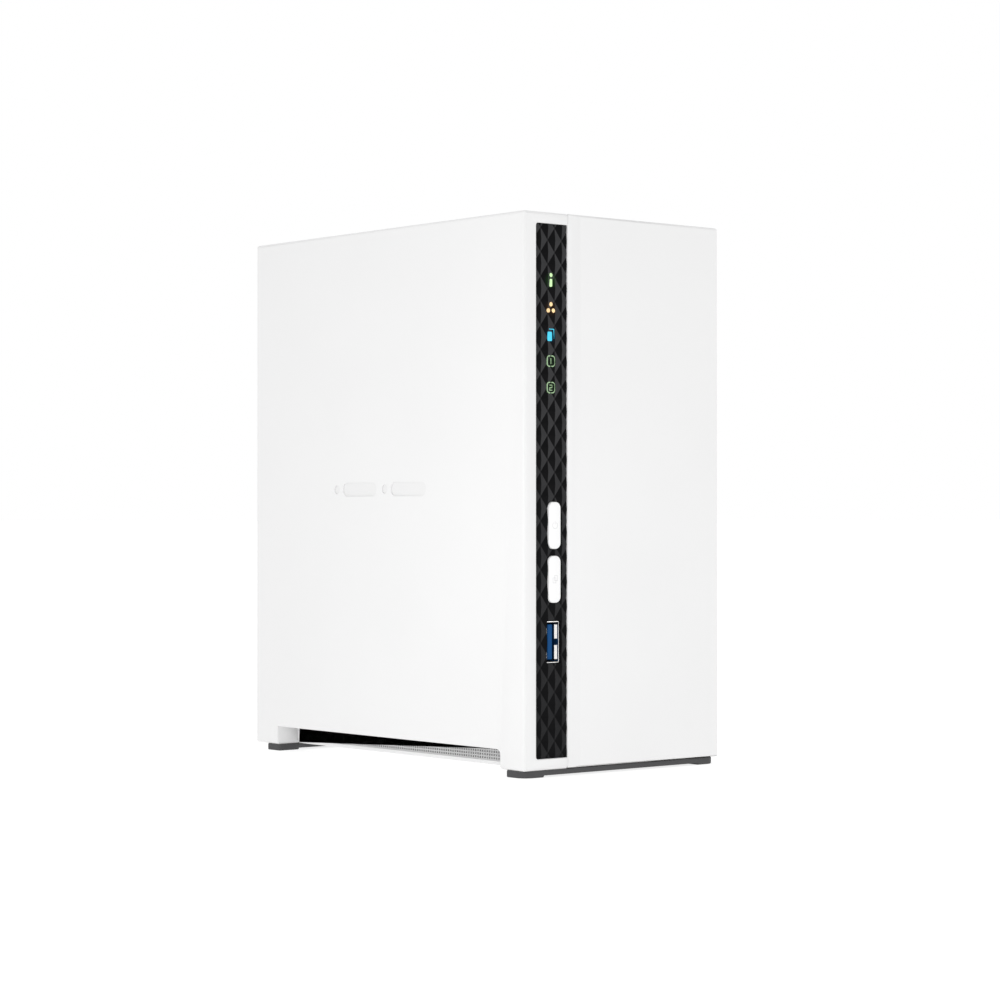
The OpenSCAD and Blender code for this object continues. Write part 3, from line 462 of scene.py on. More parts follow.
@dataclass(frozen=True)
class Faceted(Finish):
    """Gloss black relief, its facets turned to the right given a lighter base colour as a painted reflection,
    darker towards the bottom as painted shade, with a painted glow round the icons.
    """

    # Base colour of the facets turned to the right: a painted reflection.
    light: Colour = (0.042, 0.042, 0.044)
    icon_x: float = -0.0326
    reach: float = 0.0032
    core: float = 0.0012
    face_y: float = -0.0777
    painted_halos: tuple[PaintedHalo, ...] = ()

    def dress(self, g: Graph, shader: Any) -> None:
        """Paints a reflection on the facets turned to the right, told apart by their normals, paints shade
        towards the bottom and adds the painted glow round the icons.
        """
        turned = g.add("ShaderNodeSeparateXYZ", {0: g.add("ShaderNodeNewGeometry").outputs["Normal"]})
        # Painted reflection: facets whose normal turns towards +X get the lighter colour.
        side = g.ramp(turned.outputs[0], -0.04, 0.04)
        place = g.add("ShaderNodeTexCoord").outputs["Object"]
        cloud = g.add("ShaderNodeTexNoise", {"Vector": place, "Scale": 140.0, "Detail": 2.0}).outputs[0]
        at = g.add("ShaderNodeSeparateXYZ", {0: place})
        # Painted shade: the facets darken towards the bottom of the strip; the noise adds a random tone.
        lower = g.ramp(at.outputs[2], 0.02, 0.13)
        shade = g.math("MULTIPLY", g.math("MULTIPLY_ADD", lower, 0.6, 0.4), g.ramp(cloud, -0.9, 0.6))
        colour = g.mix(g.math("MULTIPLY", side, shade), rgba(self.colour), rgba(self.light))
        g.tree.links.new(colour, shader.inputs["Base Color"])
        shader.inputs["Specular IOR Level"].default_value = 0.03
        rough = g.math("MULTIPLY_ADD", cloud, 0.1, self.roughness - 0.05)
        g.tree.links.new(rough, shader.inputs["Roughness"])
        # Painted glow: emission laid on the black relief round each lit icon.
        painted_glow: Any = (0.0, 0.0, 0.0, 1.0)
        for halo in self.painted_halos:
            centre = (self.icon_x, self.face_y, halo.height)
            away = g.add("ShaderNodeVectorMath", {0: place, 1: centre}, operation="DISTANCE").outputs["Value"]
            span = {0: away, 1: self.reach, 2: self.core}
            near = g.add("ShaderNodeMapRange", span, interpolation_type="SMOOTHSTEP")
            painted_glow = g.mix(near.outputs[0], painted_glow, rgba(halo.tone))
        g.tree.links.new(painted_glow, shader.inputs["Emission Color"])
        shader.inputs["Emission Strength"].default_value = 1.0


# Height and colour of the painted glow round each lit icon on the strip.
PAINTED_HALOS = (
    PaintedHalo(0.1667, (0.002, 0.022, 0.001)),
    PaintedHalo(0.1573, (0.016, 0.006, 0.0)),
    PaintedHalo(0.1482, (0.002, 0.01, 0.022)),
    PaintedHalo(0.1395, (0.003, 0.012, 0.003)),
    PaintedHalo(0.1306, (0.003, 0.012, 0.003)),
)
WHITE = Moulded("white_shell", (0.815, 0.815, 0.815), 0.4, tint=0.99, scale=1700.0, depth=0.000008)
EMBLEM = Moulded("white_shell", (0.79, 0.79, 0.79), 0.6, "emblem_floor", tint=0.98)
# The grille's base colour sits far below the white shell's: painted shade of the recess it lies in.
GRILLE_PAINTED_SHADE = Moulded("grille_white", (0.54, 0.54, 0.54), 0.55, scale=3000.0, depth=0.00001)
STRIP = Faceted("black_strip", (0.005, 0.005, 0.0055), 0.35, painted_halos=PAINTED_HALOS)
BUTTON = Moulded("white_button", (0.9, 0.9, 0.9), 0.38, tint=0.99, depth=0.000006)
SYMBOL = Moulded("white_button", (0.72, 0.72, 0.72), 0.5, "button_symbol")
GUIDE = Moulded("clear_guide", (0.82, 0.85, 0.86), 0.15, specular=0.6)
STATUS_LIGHT = Lit("lens_pale_green", (0.2, 0.3, 0.15), 0.3, "lit_status", glow=0.8, tone=(0.68, 1.0, 0.5))
NETWORK_LIGHT = Lit("lens_amber", (0.35, 0.25, 0.12), 0.3, "lit_network", glow=0.9, tone=(1.0, 0.68, 0.34))
COPY_LIGHT = Lit("lens_blue", (0.02, 0.2, 0.25), 0.3, "lit_copy", glow=0.8, tone=(0.05, 0.66, 0.95))
DRIVE_LIGHT = Lit("lens_green", (0.15, 0.2, 0.13), 0.3, "lit_drive", glow=0.5, tone=(0.5, 0.8, 0.42))
RUBBER = Moulded(
    "rubber_foot", (0.066, 0.066, 0.068), 0.7, scale=1200.0, depth=0.00003, specular=0.3, dust=0.2
)
BLACK = Moulded("black_part", (0.018, 0.018, 0.019), 0.5, scale=1400.0, depth=0.000015, dust=0.12)
IVORY = Moulded("ivory_part", (0.72, 0.68, 0.56), 0.45, depth=0.00001, dust=0.1)
BLUE = Moulded("blue_tongue", (0.002, 0.07, 0.23), 0.35, depth=0.000006, specular=0.12)
PAPER = Moulded("ivory_part", (0.74, 0.74, 0.72), 0.6, "paper_label", scale=900.0, depth=0.000005)
GREY_LABEL = Moulded("ivory_part", (0.06, 0.06, 0.063), 0.7, "grey_label", scale=900.0, specular=0.1)
PLATED = Metal("plated_steel", (0.78, 0.77, 0.75), 0.22)
GOLD = Metal("plated_steel", (0.83, 0.62, 0.3), 0.25, "gold_contact", stretch=(900.0, 900.0, 900.0))
SHEET = Metal("zinc_sheet", (0.56, 0.57, 0.58), 0.36, stretch=(900.0, 900.0, 900.0), spread=0.25)
SCREW = Metal("screw_steel", (0.58, 0.58, 0.58), 0.28, stretch=(1500.0, 1500.0, 1500.0))
CASTING = Metal("cast_alloy", (0.36, 0.365, 0.375), 0.48, stretch=(1400.0, 1400.0, 1400.0), depth=0.00003)
LID = Metal("lid_steel", (0.62, 0.63, 0.64), 0.3, stretch=(2600.0, 40.0, 2600.0))
SINK = Metal("sink_alloy", (0.63, 0.64, 0.65), 0.34, stretch=(2600.0, 2600.0, 40.0))
CAN = Metal("can_alloy", (0.7, 0.7, 0.71), 0.25)
FERRITE = Moulded("ferrite", (0.07, 0.07, 0.075), 0.6, scale=2500.0, depth=0.00003)
CELL = Metal("cell_steel", (0.7, 0.7, 0.69), 0.2, stretch=(1800.0, 1800.0, 1800.0))
BOARD = Laminate("board_green", (0.008, 0.075, 0.026), 0.4)
FLAT_BOARD = Laminate(
    "board_green", (0.008, 0.075, 0.026), 0.4, "board_flat", along=(1.0, 0.0, 0.0), across=(0.0, 1.0, 0.0)
)
DRIVE_BOARD = Laminate("board_blue", (0.006, 0.03, 0.085), 0.4, track=(0.012, 0.06, 0.15))


# ------------------------------------------------------------------ mesh helpers


def finish_mesh(name: str, bm: bmesh.types.BMesh, merge: float = 1e-7) -> bpy.types.Object:
    """Turns a bmesh into an object at the origin, with its normals made to point outwards.

    Args:
        name: the piece's name.
        bm: the mesh, which is freed.
        merge: the distance under which two vertices become one.

    Returns:
        The new object, linked into the scene.
    """
    bmesh.ops.remove_doubles(bm, verts=bm.verts, dist=merge)
    bmesh.ops.recalc_face_normals(bm, faces=bm.faces)
    mesh = bpy.data.meshes.new(name)
    bm.to_mesh(mesh)
    bm.free()
    made = bpy.data.objects.new(name, mesh)
    bpy.context.scene.collection.objects.link(made)
    return made


def smooth_by_angle(piece: bpy.types.Object, degrees: float = 35.0) -> None:
    """Shades a piece smooth, and keeps edges sharper than an angle crisp."""
    piece.data.shade_smooth()
    piece.data.set_sharp_from_angle(angle=math.radians(degrees))


def box_mesh(bm: bmesh.types.BMesh, low: Vector, high: Vector) -> list[Any]:
    """Adds a box between two corners and returns its vertices."""
    centre, size = (low + high) / 2, high - low
    matrix = Matrix.Translation(centre) @ Matrix.Diagonal((*size, 1.0))
    return bmesh.ops.create_cube(bm, size=1.0, matrix=matrix)["verts"]


def ring_bevel(bm: bmesh.types.BMesh, width: float, segments: int = 2, angle: float = 30.0) -> None:
    """Bevels every edge of a bmesh that is sharper than an angle.

    Args:
        bm: the mesh to change.
        width: the bevel's width, in metres.
        segments: how many strips make it.
        angle: the smallest angle between faces that counts as an edge, in degrees.
    """
    limit = math.radians(angle)
    edges = [e for e in bm.edges if len(e.link_faces) == 2 and e.calc_face_angle(0.0) > limit]
    bmesh.ops.bevel(
        bm, geom=edges, offset=width, segments=segments, affect="EDGES", profile=0.5, material=-1,
        clamp_overlap=True,
    )


def block(bm: bmesh.types.BMesh, x: tuple, y: tuple, z: tuple) -> None:
    """Adds a box to a mesh from its three ranges, given in millimetres."""
    low, high = zip(x, y, z)
    box_mesh(bm, Vector(low) * MM, Vector(high) * MM)


def disc(
    bm: bmesh.types.BMesh, centre: tuple, axis: str, radius: float, height: float, sides: int = 32
) -> None:
    """Adds a cylinder to a mesh, given in millimetres.

    Args:
        bm: the mesh to add to.
        centre: the cylinder's middle.
        axis: the axis it lies along, "X", "Y" or "Z".
        radius: its radius.
        height: its length along the axis.
        sides: how many sides it has.
    """
    turn = {"X": Matrix.Rotation(math.pi / 2, 4, "Y"), "Y": Matrix.Rotation(math.pi / 2, 4, "X")}
    matrix = Matrix.Translation(Vector(centre) * MM) @ turn.get(axis, Matrix.Identity(4))
    bmesh.ops.create_cone(
        bm, cap_ends=True, segments=sides, radius1=radius * MM, radius2=radius * MM, depth=height * MM,
        matrix=matrix,
    )


def piece_of(name: str, bm: bmesh.types.BMesh, bevel: float = 0.0, segments: int = 1) -> bpy.types.Object:
    """Finishes a mesh as a piece, with its edges bevelled if a width (in millimetres) is given."""
    if bevel:
        ring_bevel(bm, bevel * MM, segments)
    made = finish_mesh(name, bm)
    smooth_by_angle(made)
    return made


def soften(
    node: str, width: float, segments: int = 2, keep: tuple[Vector, Vector] | None = None
) -> bpy.types.Object:
    """Copies a CAD node's mesh, merges its loose triangles and rounds its edges.

    Args:
        node: the CAD node to stand for.
        width: the rounding's width, in metres.
        segments: how many strips make it.
        keep: two corners of a box whose edges stay crisp.

    Returns:
        The new piece, which replaces the node.
    """
    bm = bmesh.new()
    bm.from_mesh(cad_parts[node].data)
    bmesh.ops.remove_doubles(bm, verts=bm.verts, dist=2e-6)
    bmesh.ops.dissolve_limit(
        bm, angle_limit=math.radians(0.6), use_dissolve_boundaries=False, verts=bm.verts, edges=bm.edges
    )
    weight = bm.edges.layers.float.new("bevel_weight_edge")
    for edge in bm.edges:
        hard = len(edge.link_faces) == 2 and edge.calc_face_angle(0.0) > math.radians(32)
        middle = (edge.verts[0].co + edge.verts[1].co) / 2
        inside = keep is not None and all(a <= c <= b for a, c, b in zip(keep[0], middle, keep[1]))
        edge[weight] = 1.0 if hard and not inside else 0.0
        edge.smooth = not (hard and inside)
    mesh = bpy.data.meshes.new(node + "_skin")
    bm.to_mesh(mesh)
    bm.free()
    piece = bpy.data.objects.new(node + "_skin", mesh)
    bpy.context.scene.collection.objects.link(piece)
    for polygon in mesh.polygons:
        polygon.use_smooth = True
    bevel = piece.modifiers.new("rounding", "BEVEL")
    bevel.width = width
    bevel.segments = segments
    bevel.limit_method = "WEIGHT"
    bevel.use_clamp_overlap = False
    bevel.harden_normals = True
    bevel.miter_outer = "MITER_SHARP"
    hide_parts(node)
    return piece


def wear(piece: bpy.types.Object, finish: Finish, body: str) -> bpy.types.Object:
    """Gives a piece its finish and the body it moves with.

    Args:
        piece: a piece of the object's looks.
        finish: the finish it wears.
        body: the CAD body it rides on.

    Returns:
        The same piece.
    """
    piece.data.materials.clear()
    piece.data.materials.append(finish.material())
    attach(piece, body)
    LOG.info("%s rides on %s in %s", piece.name, body, finish.slot)
    return piece


def dress_node(node: str, finish: Finish) -> None:
    """Gives a carried-over CAD node its finish."""
    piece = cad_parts[node]
    piece.data.materials.clear()
    piece.data.materials.append(finish.material())
    LOG.info("%s keeps its CAD shape in %s", node, finish.slot)


class SubAssembly:
    """A group of pieces that is built and then dressed."""

    body = "chassis"

    def build(self) -> None:
        """Builds the meshes."""

    def dress(self) -> None:
        """Gives the pieces their finishes."""


@dataclass
class Piece:
    """One built piece with the finish it gets and the body it moves with."""

    made: bpy.types.Object
    finish: Finish
    body: str = "chassis"


@dataclass
class Group(SubAssembly):
    """A sub-assembly that keeps a list of its pieces and of the CAD nodes it only dresses."""

    pieces: list[Piece] = field(default_factory=list)
    plain: dict[str, Finish] = field(default_factory=dict)

    def dress(self) -> None:
        """Gives every piece and every carried-over node its finish."""
        for piece in self.pieces:
            wear(piece.made, piece.finish, piece.body)
        for node, finish in self.plain.items():
            dress_node(node, finish)

    def skin(self, node: str, finish: Finish, width: float, body: str = "chassis", segments: int = 2) -> None:
        """Adds the rounded copy of one CAD node, with the rounding's width in millimetres."""
        self.pieces.append(Piece(soften(node, width * MM, segments), finish, body))

    def add(
        self, name: str, bm: bmesh.types.BMesh, finish: Finish, bevel: float = 0.0, body: str = "chassis"
    ) -> None:
        """Adds one new piece."""
        self.pieces.append(Piece(piece_of(name, bm, bevel), finish, body))


@dataclass
class Housing(Group):
    """The two halves of the casing, the rear panel, the feet, the grilles and the outer screws."""

    emblem_x: tuple[float, float] = (-44.77, -44.7)
    emblem_y: float = 1.2
    emblem_z: float = 97.0
    emblem_pitch: float = 28.4
    bar_shift: float = -2.4
    bar_length: float = 15.0
    bar_radius: float = 2.4
    dot_shift: float = 11.2
    dot_radius: float = 1.5

    def stadium(self, bm: bmesh.types.BMesh, y: float, length: float, radius: float) -> None:
        """Adds a thin plate with round ends on the floor of one sunk bar or dot of the emblem.

        Args:
            bm: the mesh to add to.
            y: the plate's middle, in millimetres.
            length: the distance between the centres of its round ends.
            radius: the radius of the ends.
        """
        steps = 48
        layers: list[list[Any]] = [[], []]
        for k in range(steps):
            angle = 2 * math.pi * (k + 0.5) / steps
            along = y + math.copysign(length / 2, math.cos(angle)) + radius * math.cos(angle)
            up = self.emblem_z + radius * math.sin(angle)
            for layer, x in zip(layers, self.emblem_x):
                layer.append(bm.verts.new(Vector((x, along, up)) * MM))
        for layer in layers:
            bm.faces.new(layer)
        low, high = layers
        for k in range(steps):
            after = (k + 1) % steps
            bm.faces.new((low[k], low[after], high[after], high[k]))

    def build(self) -> None:
        """Rounds the mouldings and lays the floor of the emblem."""
        emblem = (Vector((-0.0455, -0.05, 0.08)), Vector((-0.0445, 0.05, 0.115)))
        case = soften("left_case", 0.3 * MM, keep=emblem)
        self.pieces.append(Piece(case, WHITE))
        inlay = bmesh.new()
        for side in (-1, 1):
            middle = self.emblem_y + side * self.emblem_pitch / 2
            self.stadium(inlay, middle + self.bar_shift, self.bar_length, self.bar_radius)
            self.stadium(inlay, middle + self.dot_shift, 0.0, self.dot_radius)
        self.add("emblem_floor", inlay, EMBLEM)
        self.skin("right_cover", WHITE, 0.3, "cover")
        self.skin("front_foot", RUBBER, 0.35, segments=3)
        self.skin("rear_foot", RUBBER, 0.35, segments=3)
        for node in ("fan_screws", "case_screws", "panel_screws"):
            self.skin(node, SCREW, 0.12)
        self.plain = {
            "left_vent_grille": GRILLE_PAINTED_SHADE,
            "right_vent_grille": GRILLE_PAINTED_SHADE,
            "rear_panel": WHITE,
            "lock_plate": SHEET,
        }


@dataclass
class Controls(Group):
    """The black strip with its lit icons, and the two buttons with their faint symbols."""

    x: float = -31.3
    face: float = -78.0
    power_z: float = 84.35
    copy_z: float = 66.25

    def build(self) -> None:
        """Rounds the caps and lays the symbols on them."""
        for node in ("power_button", "copy_button"):
            self.skin(node, BUTTON, 0.45, node, 3)
        bm = bmesh.new()
        self.arc(bm, 1.0, 1.2)
        inlay = (self.face - 0.012, self.face + 0.05)
        block(bm, (self.x - 0.1, self.x + 0.1), inlay, (self.power_z + 0.3, self.power_z + 1.35))
        self.add("power_symbol", bm, SYMBOL, body="power_button")
        bm = bmesh.new()
        for dx, dz, w, h in ((-0.3, -0.35, 1.3, 1.7), (0.4, 0.4, 1.3, 1.7)):
            self.frame_of(bm, self.x + dx, self.copy_z + dz, w, h)
        self.add("copy_symbol", bm, SYMBOL, body="copy_button")
        self.plain = {
            "front_strip": STRIP,
            "light_guide": GUIDE,
            "indicator_leds": IVORY,
            "status_lens": STATUS_LIGHT,
            "network_lens": NETWORK_LIGHT,
            "copy_lens": COPY_LIGHT,
            "drive_1_lens": DRIVE_LIGHT,
            "drive_2_lens": DRIVE_LIGHT,
        }

    def arc(self, bm: bmesh.types.BMesh, inner: float, outer: float) -> None:
        """Adds the open ring of the power symbol."""
        steps = 22
        rims = []
        for k in range(steps + 1):
            angle = math.radians(125.0 + 290.0 * k / steps)
            across, up = math.cos(angle), math.sin(angle)
            rims.append([
                bm.verts.new(Vector((self.x + r * across, y, self.power_z + r * up)) * MM)
                for r, y in (
                    (inner, self.face - 0.012), (outer, self.face - 0.012),
                    (outer, self.face + 0.05), (inner, self.face + 0.05),
                )
            ])
        for one, two in zip(rims, rims[1:]):
            for k in range(4):
                bm.faces.new((one[k], one[(k + 1) % 4], two[(k + 1) % 4], two[k]))
        bm.faces.new(rims[0])
        bm.faces.new(rims[-1])

    def frame_of(self, bm: bmesh.types.BMesh, x: float, z: float, w: float, h: float) -> None:
        """Adds one square outline of the copy symbol."""
        y = (self.face - 0.012, self.face + 0.05)
        for side in (-1, 1):
            block(bm, (x + side * w / 2 - 0.08, x + side * w / 2 + 0.08), y, (z - h / 2, z + h / 2))
            block(bm, (x - w / 2, x + w / 2), y, (z + side * h / 2 - 0.08, z + side * h / 2 + 0.08))


@dataclass
class UsbSocket(Group):
    """One USB socket: its folded shell, its tongue with contacts and the springs of the shell."""

    name: str = "front_usb"
    shell: str = "front_usb_shell"
    tongue: str = "front_usb_tongue"
    x: float = -31.3
    z: float = 45.15
    mouth: float = -76.75
    inward: int = 1

    def leaf(self, bm: bmesh.types.BMesh, low: float, high: float) -> None:
        """Adds one contact spring: a leaf folded inwards from the wall of the shell.

        Args:
            bm: the mesh to add to.
            low: the leaf's lower end, in millimetres.
            high: its upper end.
        """
        wall = self.x + 2.5
        section = ((wall, 0.6), (wall - 0.7, 1.3), (wall - 0.7, 1.7), (wall - 0.05, 7.0), (wall, 7.0))
        corners = [
            bm.verts.new(Vector((x, self.mouth + self.inward * deep, low)) * MM) for x, deep in section
        ]
        face = bm.faces.new(corners)
        grown = bmesh.ops.extrude_face_region(bm, geom=[face])["geom"]
        moved = [v for v in grown if isinstance(v, bmesh.types.BMVert)]
        bmesh.ops.translate(bm, verts=moved, vec=(0.0, 0.0, (high - low) * MM))

    def span(self, near: float, far: float) -> tuple[float, float]:
        """Turns two depths behind the mouth into a range along Y."""
        return tuple(sorted((self.mouth + self.inward * near, self.mouth + self.inward * far)))

    def build(self) -> None:
        """Rounds the shell and tongue, then adds contacts and springs."""
        self.skin(self.shell, PLATED, 0.1)
        self.skin(self.tongue, BLUE, 0.2)
        springs = bmesh.new()
        for side in (-1, 1):
            low, high = sorted((self.z + side * 1.1, self.z + side * 5.8))
            self.leaf(springs, low, high)
        self.add(self.name + "_springs", springs, PLATED)
        pads = bmesh.new()
        for row, (near, far), half in (
            ((-3.5, -1.0, 1.0, 3.5), (2.2, 9.0), 0.45),
            ((-4.0, -2.0, 0.0, 2.0, 4.0), (10.0, 12.5), 0.3),
        ):
            for dz in row:
                across = (self.z + dz - half, self.z + dz + half)
                block(pads, (self.x - 1.32, self.x - 1.15), self.span(near, far), across)
        self.add(self.name + "_contacts", pads, GOLD)


class RearPorts(Group):
    """The network socket, the power inlet and the reset button; the two rear USB sockets are built as
    UsbSocket groups.
    """

    def build(self) -> None:
        """Rounds the sockets and fills them with their contacts."""
        self.skin("network_jack", PLATED, 0.25)
        self.skin("power_jack", BLACK, 0.3)
        cx, z, mouth = -34.6, 43.5, 77.05
        wires = bmesh.new()
        for k in range(8):
            at = z + (k - 3.5) * 1.02
            block(wires, (cx + 3.2, cx + 3.7), (mouth - 12.5, mouth - 3.2), (at - 0.2, at + 0.2))
        self.add("network_contacts", wires, GOLD)
        body = bmesh.new()
        block(body, (cx + 3.75, cx + 4.3), (mouth - 13.4, mouth - 1.2), (z - 5.8, z + 5.8))
        block(body, (cx - 3.5, cx + 4.3), (mouth - 13.9, mouth - 12.9), (z - 5.8, z + 5.8))
        self.add("network_insert", body, BLACK)
        pin = bmesh.new()
        disc(pin, (-33.9, mouth - 5.6, 23.0), "Y", 1.06, 8.8)
        self.add("power_pin", pin, PLATED, 0.25)
        self.plain = {"reset_button": BLACK}
        self.skin("reset_switch", BLACK, 0.2)


@dataclass
class MainBoard(Group):
    """The upright main board with everything soldered to it."""

    face: float = -27.9

    def build(self) -> None:
        """Rounds the CAD parts and adds legs, small parts, can bases and the cell's spring."""
        self.plain = {"main_board": BOARD, "fan_cable": BLACK}
        self.skin("processor", BLACK, 0.1)
        self.skin("heatsink", SINK, 0.15)
        self.skin("memory_chips", BLACK, 0.15)
        self.skin("capacitors", CAN, 0.5, segments=3)
        self.skin("inductors", FERRITE, 0.5)
        self.skin("buzzer", BLACK, 0.4, segments=3)
        self.skin("coin_cell", CELL, 0.35, segments=3)
        self.skin("coin_cell_holder", IVORY, 0.2)
        self.skin("board_screws", SCREW, 0.12)
        self.skin("fan_plug", IVORY, 0.25)
        for node in ("power_switch", "copy_switch"):
            self.skin(node, BLACK, 0.2)
        self.legs()
        self.small_parts()
        self.can_tops()

    def legs(self) -> None:
        """Adds the rows of legs beside the memory chips."""
        bm = bmesh.new()
        for z in (28.0, 80.0):
            for y in (-2.0, 14.0):
                for k in range(12):
                    at = z - 5.5 + k
                    for side in (-1, 1):
                        ends = sorted((y + side * 4.4, y + side * 5.5))
                        block(bm, (self.face - 0.3, self.face - 0.02), ends, (at - 0.2, at + 0.2))
        self.add("memory_legs", bm, PLATED)

    def small_parts(self) -> None:
        """Scatters the resistors and small capacitors in rows between the big parts."""
        chance = random.Random(7)
        dark, light = bmesh.new(), bmesh.new()
        rows = [(-60.0, -14.0, 44.0, 90.0), (-60.0, -26.0, 118.0, 126.0), (-8.0, 24.0, 34.0, 37.5),
                (26.0, 56.0, 66.0, 74.0), (-14.0, 20.0, 90.0, 97.0), (-26.0, -12.0, 14.0, 38.0)]
        for y0, y1, z0, z1 in rows:
            y = y0
            while y < y1:
                z = z0
                while z < z1:
                    if chance.random() < 0.62:
                        flat = chance.random() < 0.5
                        w, h = (1.6, 0.8) if flat else (0.8, 1.6)
                        target = dark if chance.random() < 0.55 else light
                        block(target, (self.face - 0.5, self.face - 0.02), (y, y + w), (z, z + h))
                    z += 3.1
                y += 3.4
        self.add("small_resistors", dark, BLACK)
        self.add("small_capacitors", light, IVORY)

    def can_tops(self) -> None:
        """Adds the dark base plate under each electrolytic can and the coin cell's spring."""
        bm = bmesh.new()
        for y, z in ((-52, 30), (-44, 30), (-52, 98), (-44, 98), (28, 30), (28, 80)):
            block(bm, (self.face - 0.9, self.face - 0.02), (y - 3.3, y + 3.3), (z - 3.3, z + 3.3))
        self.add("can_bases", bm, BLACK, 0.2)
        spring = bmesh.new()
        block(spring, (self.face - 4.6, self.face - 4.3), (-43.0, -37.0), (128.6, 138.0))
        self.add("cell_spring", spring, PLATED, 0.1)


@dataclass
class Drive(Group):
    """One 3.5 inch drive: casting, lid with its label and screws, circuit board and plug."""

    number: int = 1
    x: float = -20.3
    y0: float = -65.6
    z0: float = 26.5

    def build(self) -> None:
        """Rounds the three shells and adds what is fixed to them."""
        name = f"drive_{self.number}"
        self.skin(name + "_casting", CASTING, 0.5)
        self.skin(name + "_lid", LID, 0.4, segments=3)
        self.skin(name + "_circuit", DRIVE_BOARD, 0.12)
        top = self.x + 26.1
        label = bmesh.new()
        sheet_y, sheet_z = (self.y0 + 14.0, self.y0 + 87.0), (self.z0 + 52.0, self.z0 + 128.0)
        block(label, (top - 0.01, top + 0.08), sheet_y, sheet_z)
        self.add(name + "_label", label, PAPER)
        screws = bmesh.new()
        for y, z in ((6, 6), (95.6, 6), (6, 141), (95.6, 141), (6, 73), (95.6, 73)):
            disc(screws, (top - 0.3, self.y0 + y, self.z0 + z), "X", 2.2, 0.58, 24)
        self.add(name + "_lid_screws", screws, SCREW, 0.15)
        pads = bmesh.new()
        for k in range(9):
            y = self.y0 + 14.0 + k * 8.6
            block(pads, (self.x, self.x + 0.03), (y, y + 3.0), (self.z0 + 90.0, self.z0 + 92.0))
        self.add(name + "_test_pads", pads, GOLD)


class Bay(Group):
    """The folded cage, the backplane and its sockets."""

    def build(self) -> None:
        """Rounds the sheet and dresses the backplane."""
        self.skin("drive_cage", SHEET, 0.15)
        self.skin("drive_screws", SCREW, 0.12)
        self.skin("cage_screws", SCREW, 0.12)
        self.skin("sata_socket_1", BLACK, 0.2)
        self.skin("sata_socket_2", BLACK, 0.2)
        self.skin("riser_connector", IVORY, 0.2)
        self.plain = {"backplane_board": FLAT_BOARD}
        pins = bmesh.new()
        for x in (-20.3 + 4.1, 9.8 + 4.1):
            for k in range(22):
                y = -24.0 + k * 1.6
                block(pins, (x - 0.68, x + 0.68), (y - 0.35, y + 0.35), (26.6, 29.5))
        self.add("socket_pins", pins, GOLD)


@dataclass
class Fan(Group):
    """The cooling fan: frame, rotor with swept blades and the blank stickers of its hub."""

    x: float = 6.5
    z: float = 143.0
    front: float = 50.3
    back: float = 75.3
    hub: float = 14.0
    tip: float = 32.5
    blades: int = 7

    def build(self) -> None:
        """Rounds the frame and builds the rotor anew."""
        self.skin("fan_frame", BLACK, 0.3)
        rotor = bmesh.new()
        self.cup(rotor)
        for k in range(self.blades):
            self.blade(rotor, 2 * math.pi * k / self.blades)
        made = piece_of("fan_rotor_skin", rotor)
        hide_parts("fan_rotor")
        self.pieces.append(Piece(made, BLACK, "fan_rotor"))
        for name, y, body in (
            ("hub_sticker", self.front + 1.47, "fan_rotor"),
            ("motor_sticker", self.back + 0.02, "chassis"),
        ):
            bm = bmesh.new()
            disc(bm, (self.x, y, self.z), "Y", 10.5, 0.06, 48)
            self.add(name, bm, GREY_LABEL, body=body)

    def cup(self, bm: bmesh.types.BMesh) -> None:
        """Turns the hub's section into a full round cup with its shaft."""
        y0, y1 = self.front + 1.5, self.back - 3.5
        section = [
            (0.0, y0), (self.hub - 1.0, y0), (self.hub - 0.3, y0 + 0.3), (self.hub, y0 + 1.0),
            (self.hub, y1), (self.hub - 1.3, y1), (self.hub - 1.3, y0 + 1.5), (1.5, y0 + 1.5),
            (1.5, self.back - 1.6), (0.0, self.back - 1.6),
        ]
        verts = [bm.verts.new(Vector((self.x + r, y, self.z)) * MM) for r, y in section]
        edges = [bm.edges.new(pair) for pair in zip(verts, verts[1:])]
        bmesh.ops.spin(
            bm, geom=verts + edges, cent=Vector((self.x, 0.0, self.z)) * MM, axis=(0, 1, 0),
            angle=2 * math.pi, steps=56, use_merge=True,
        )

    def blade(self, bm: bmesh.types.BMesh, turn: float) -> None:
        """Adds one swept and twisted blade as a closed thin sheet."""
        rows, columns, thick = 7, 9, 0.9
        middle = (self.front + self.back) / 2 - 1.0
        grids = []
        for side in (-1, 1):
            grid = []
            for i in range(rows):
                t = i / (rows - 1)
                radius = self.hub - 0.6 + (self.tip - self.hub + 0.6) * t
                pitch = math.radians(52.0 - 16.0 * t)
                half = 0.5 * (15.0 + 8.0 * t)
                line = []
                for j in range(columns):
                    u = 2.0 * j / (columns - 1) - 1.0
                    along = half * u
                    camber = 1.3 * (1.0 - u * u)
                    body = 0.5 * thick * side * math.sqrt(max(0.0, 1.0 - u * u * 0.92))
                    rise = along * math.sin(pitch) + (camber + body) * math.cos(pitch)
                    run = along * math.cos(pitch) - (camber + body) * math.sin(pitch)
                    angle = turn + run / radius + 0.16 * t
                    line.append(bm.verts.new(Vector((
                        self.x + radius * math.cos(angle), middle + rise, self.z + radius * math.sin(angle),
                    )) * MM))
                grid.append(line)
            grids.append(grid)
        low, high = grids
        for grid in grids:
            for a, b in zip(grid, grid[1:]):
                for j in range(columns - 1):
                    bm.faces.new((a[j], a[j + 1], b[j + 1], b[j]))
        for j in range(columns - 1):
            for i in (0, rows - 1):
                bm.faces.new((low[i][j], low[i][j + 1], high[i][j + 1], high[i][j]))
        for i in range(rows - 1):
            for j in (0, columns - 1):
                bm.faces.new((low[i][j], low[i + 1][j], high[i + 1][j], high[i][j]))


# ------------------------------------------------------------------ studio


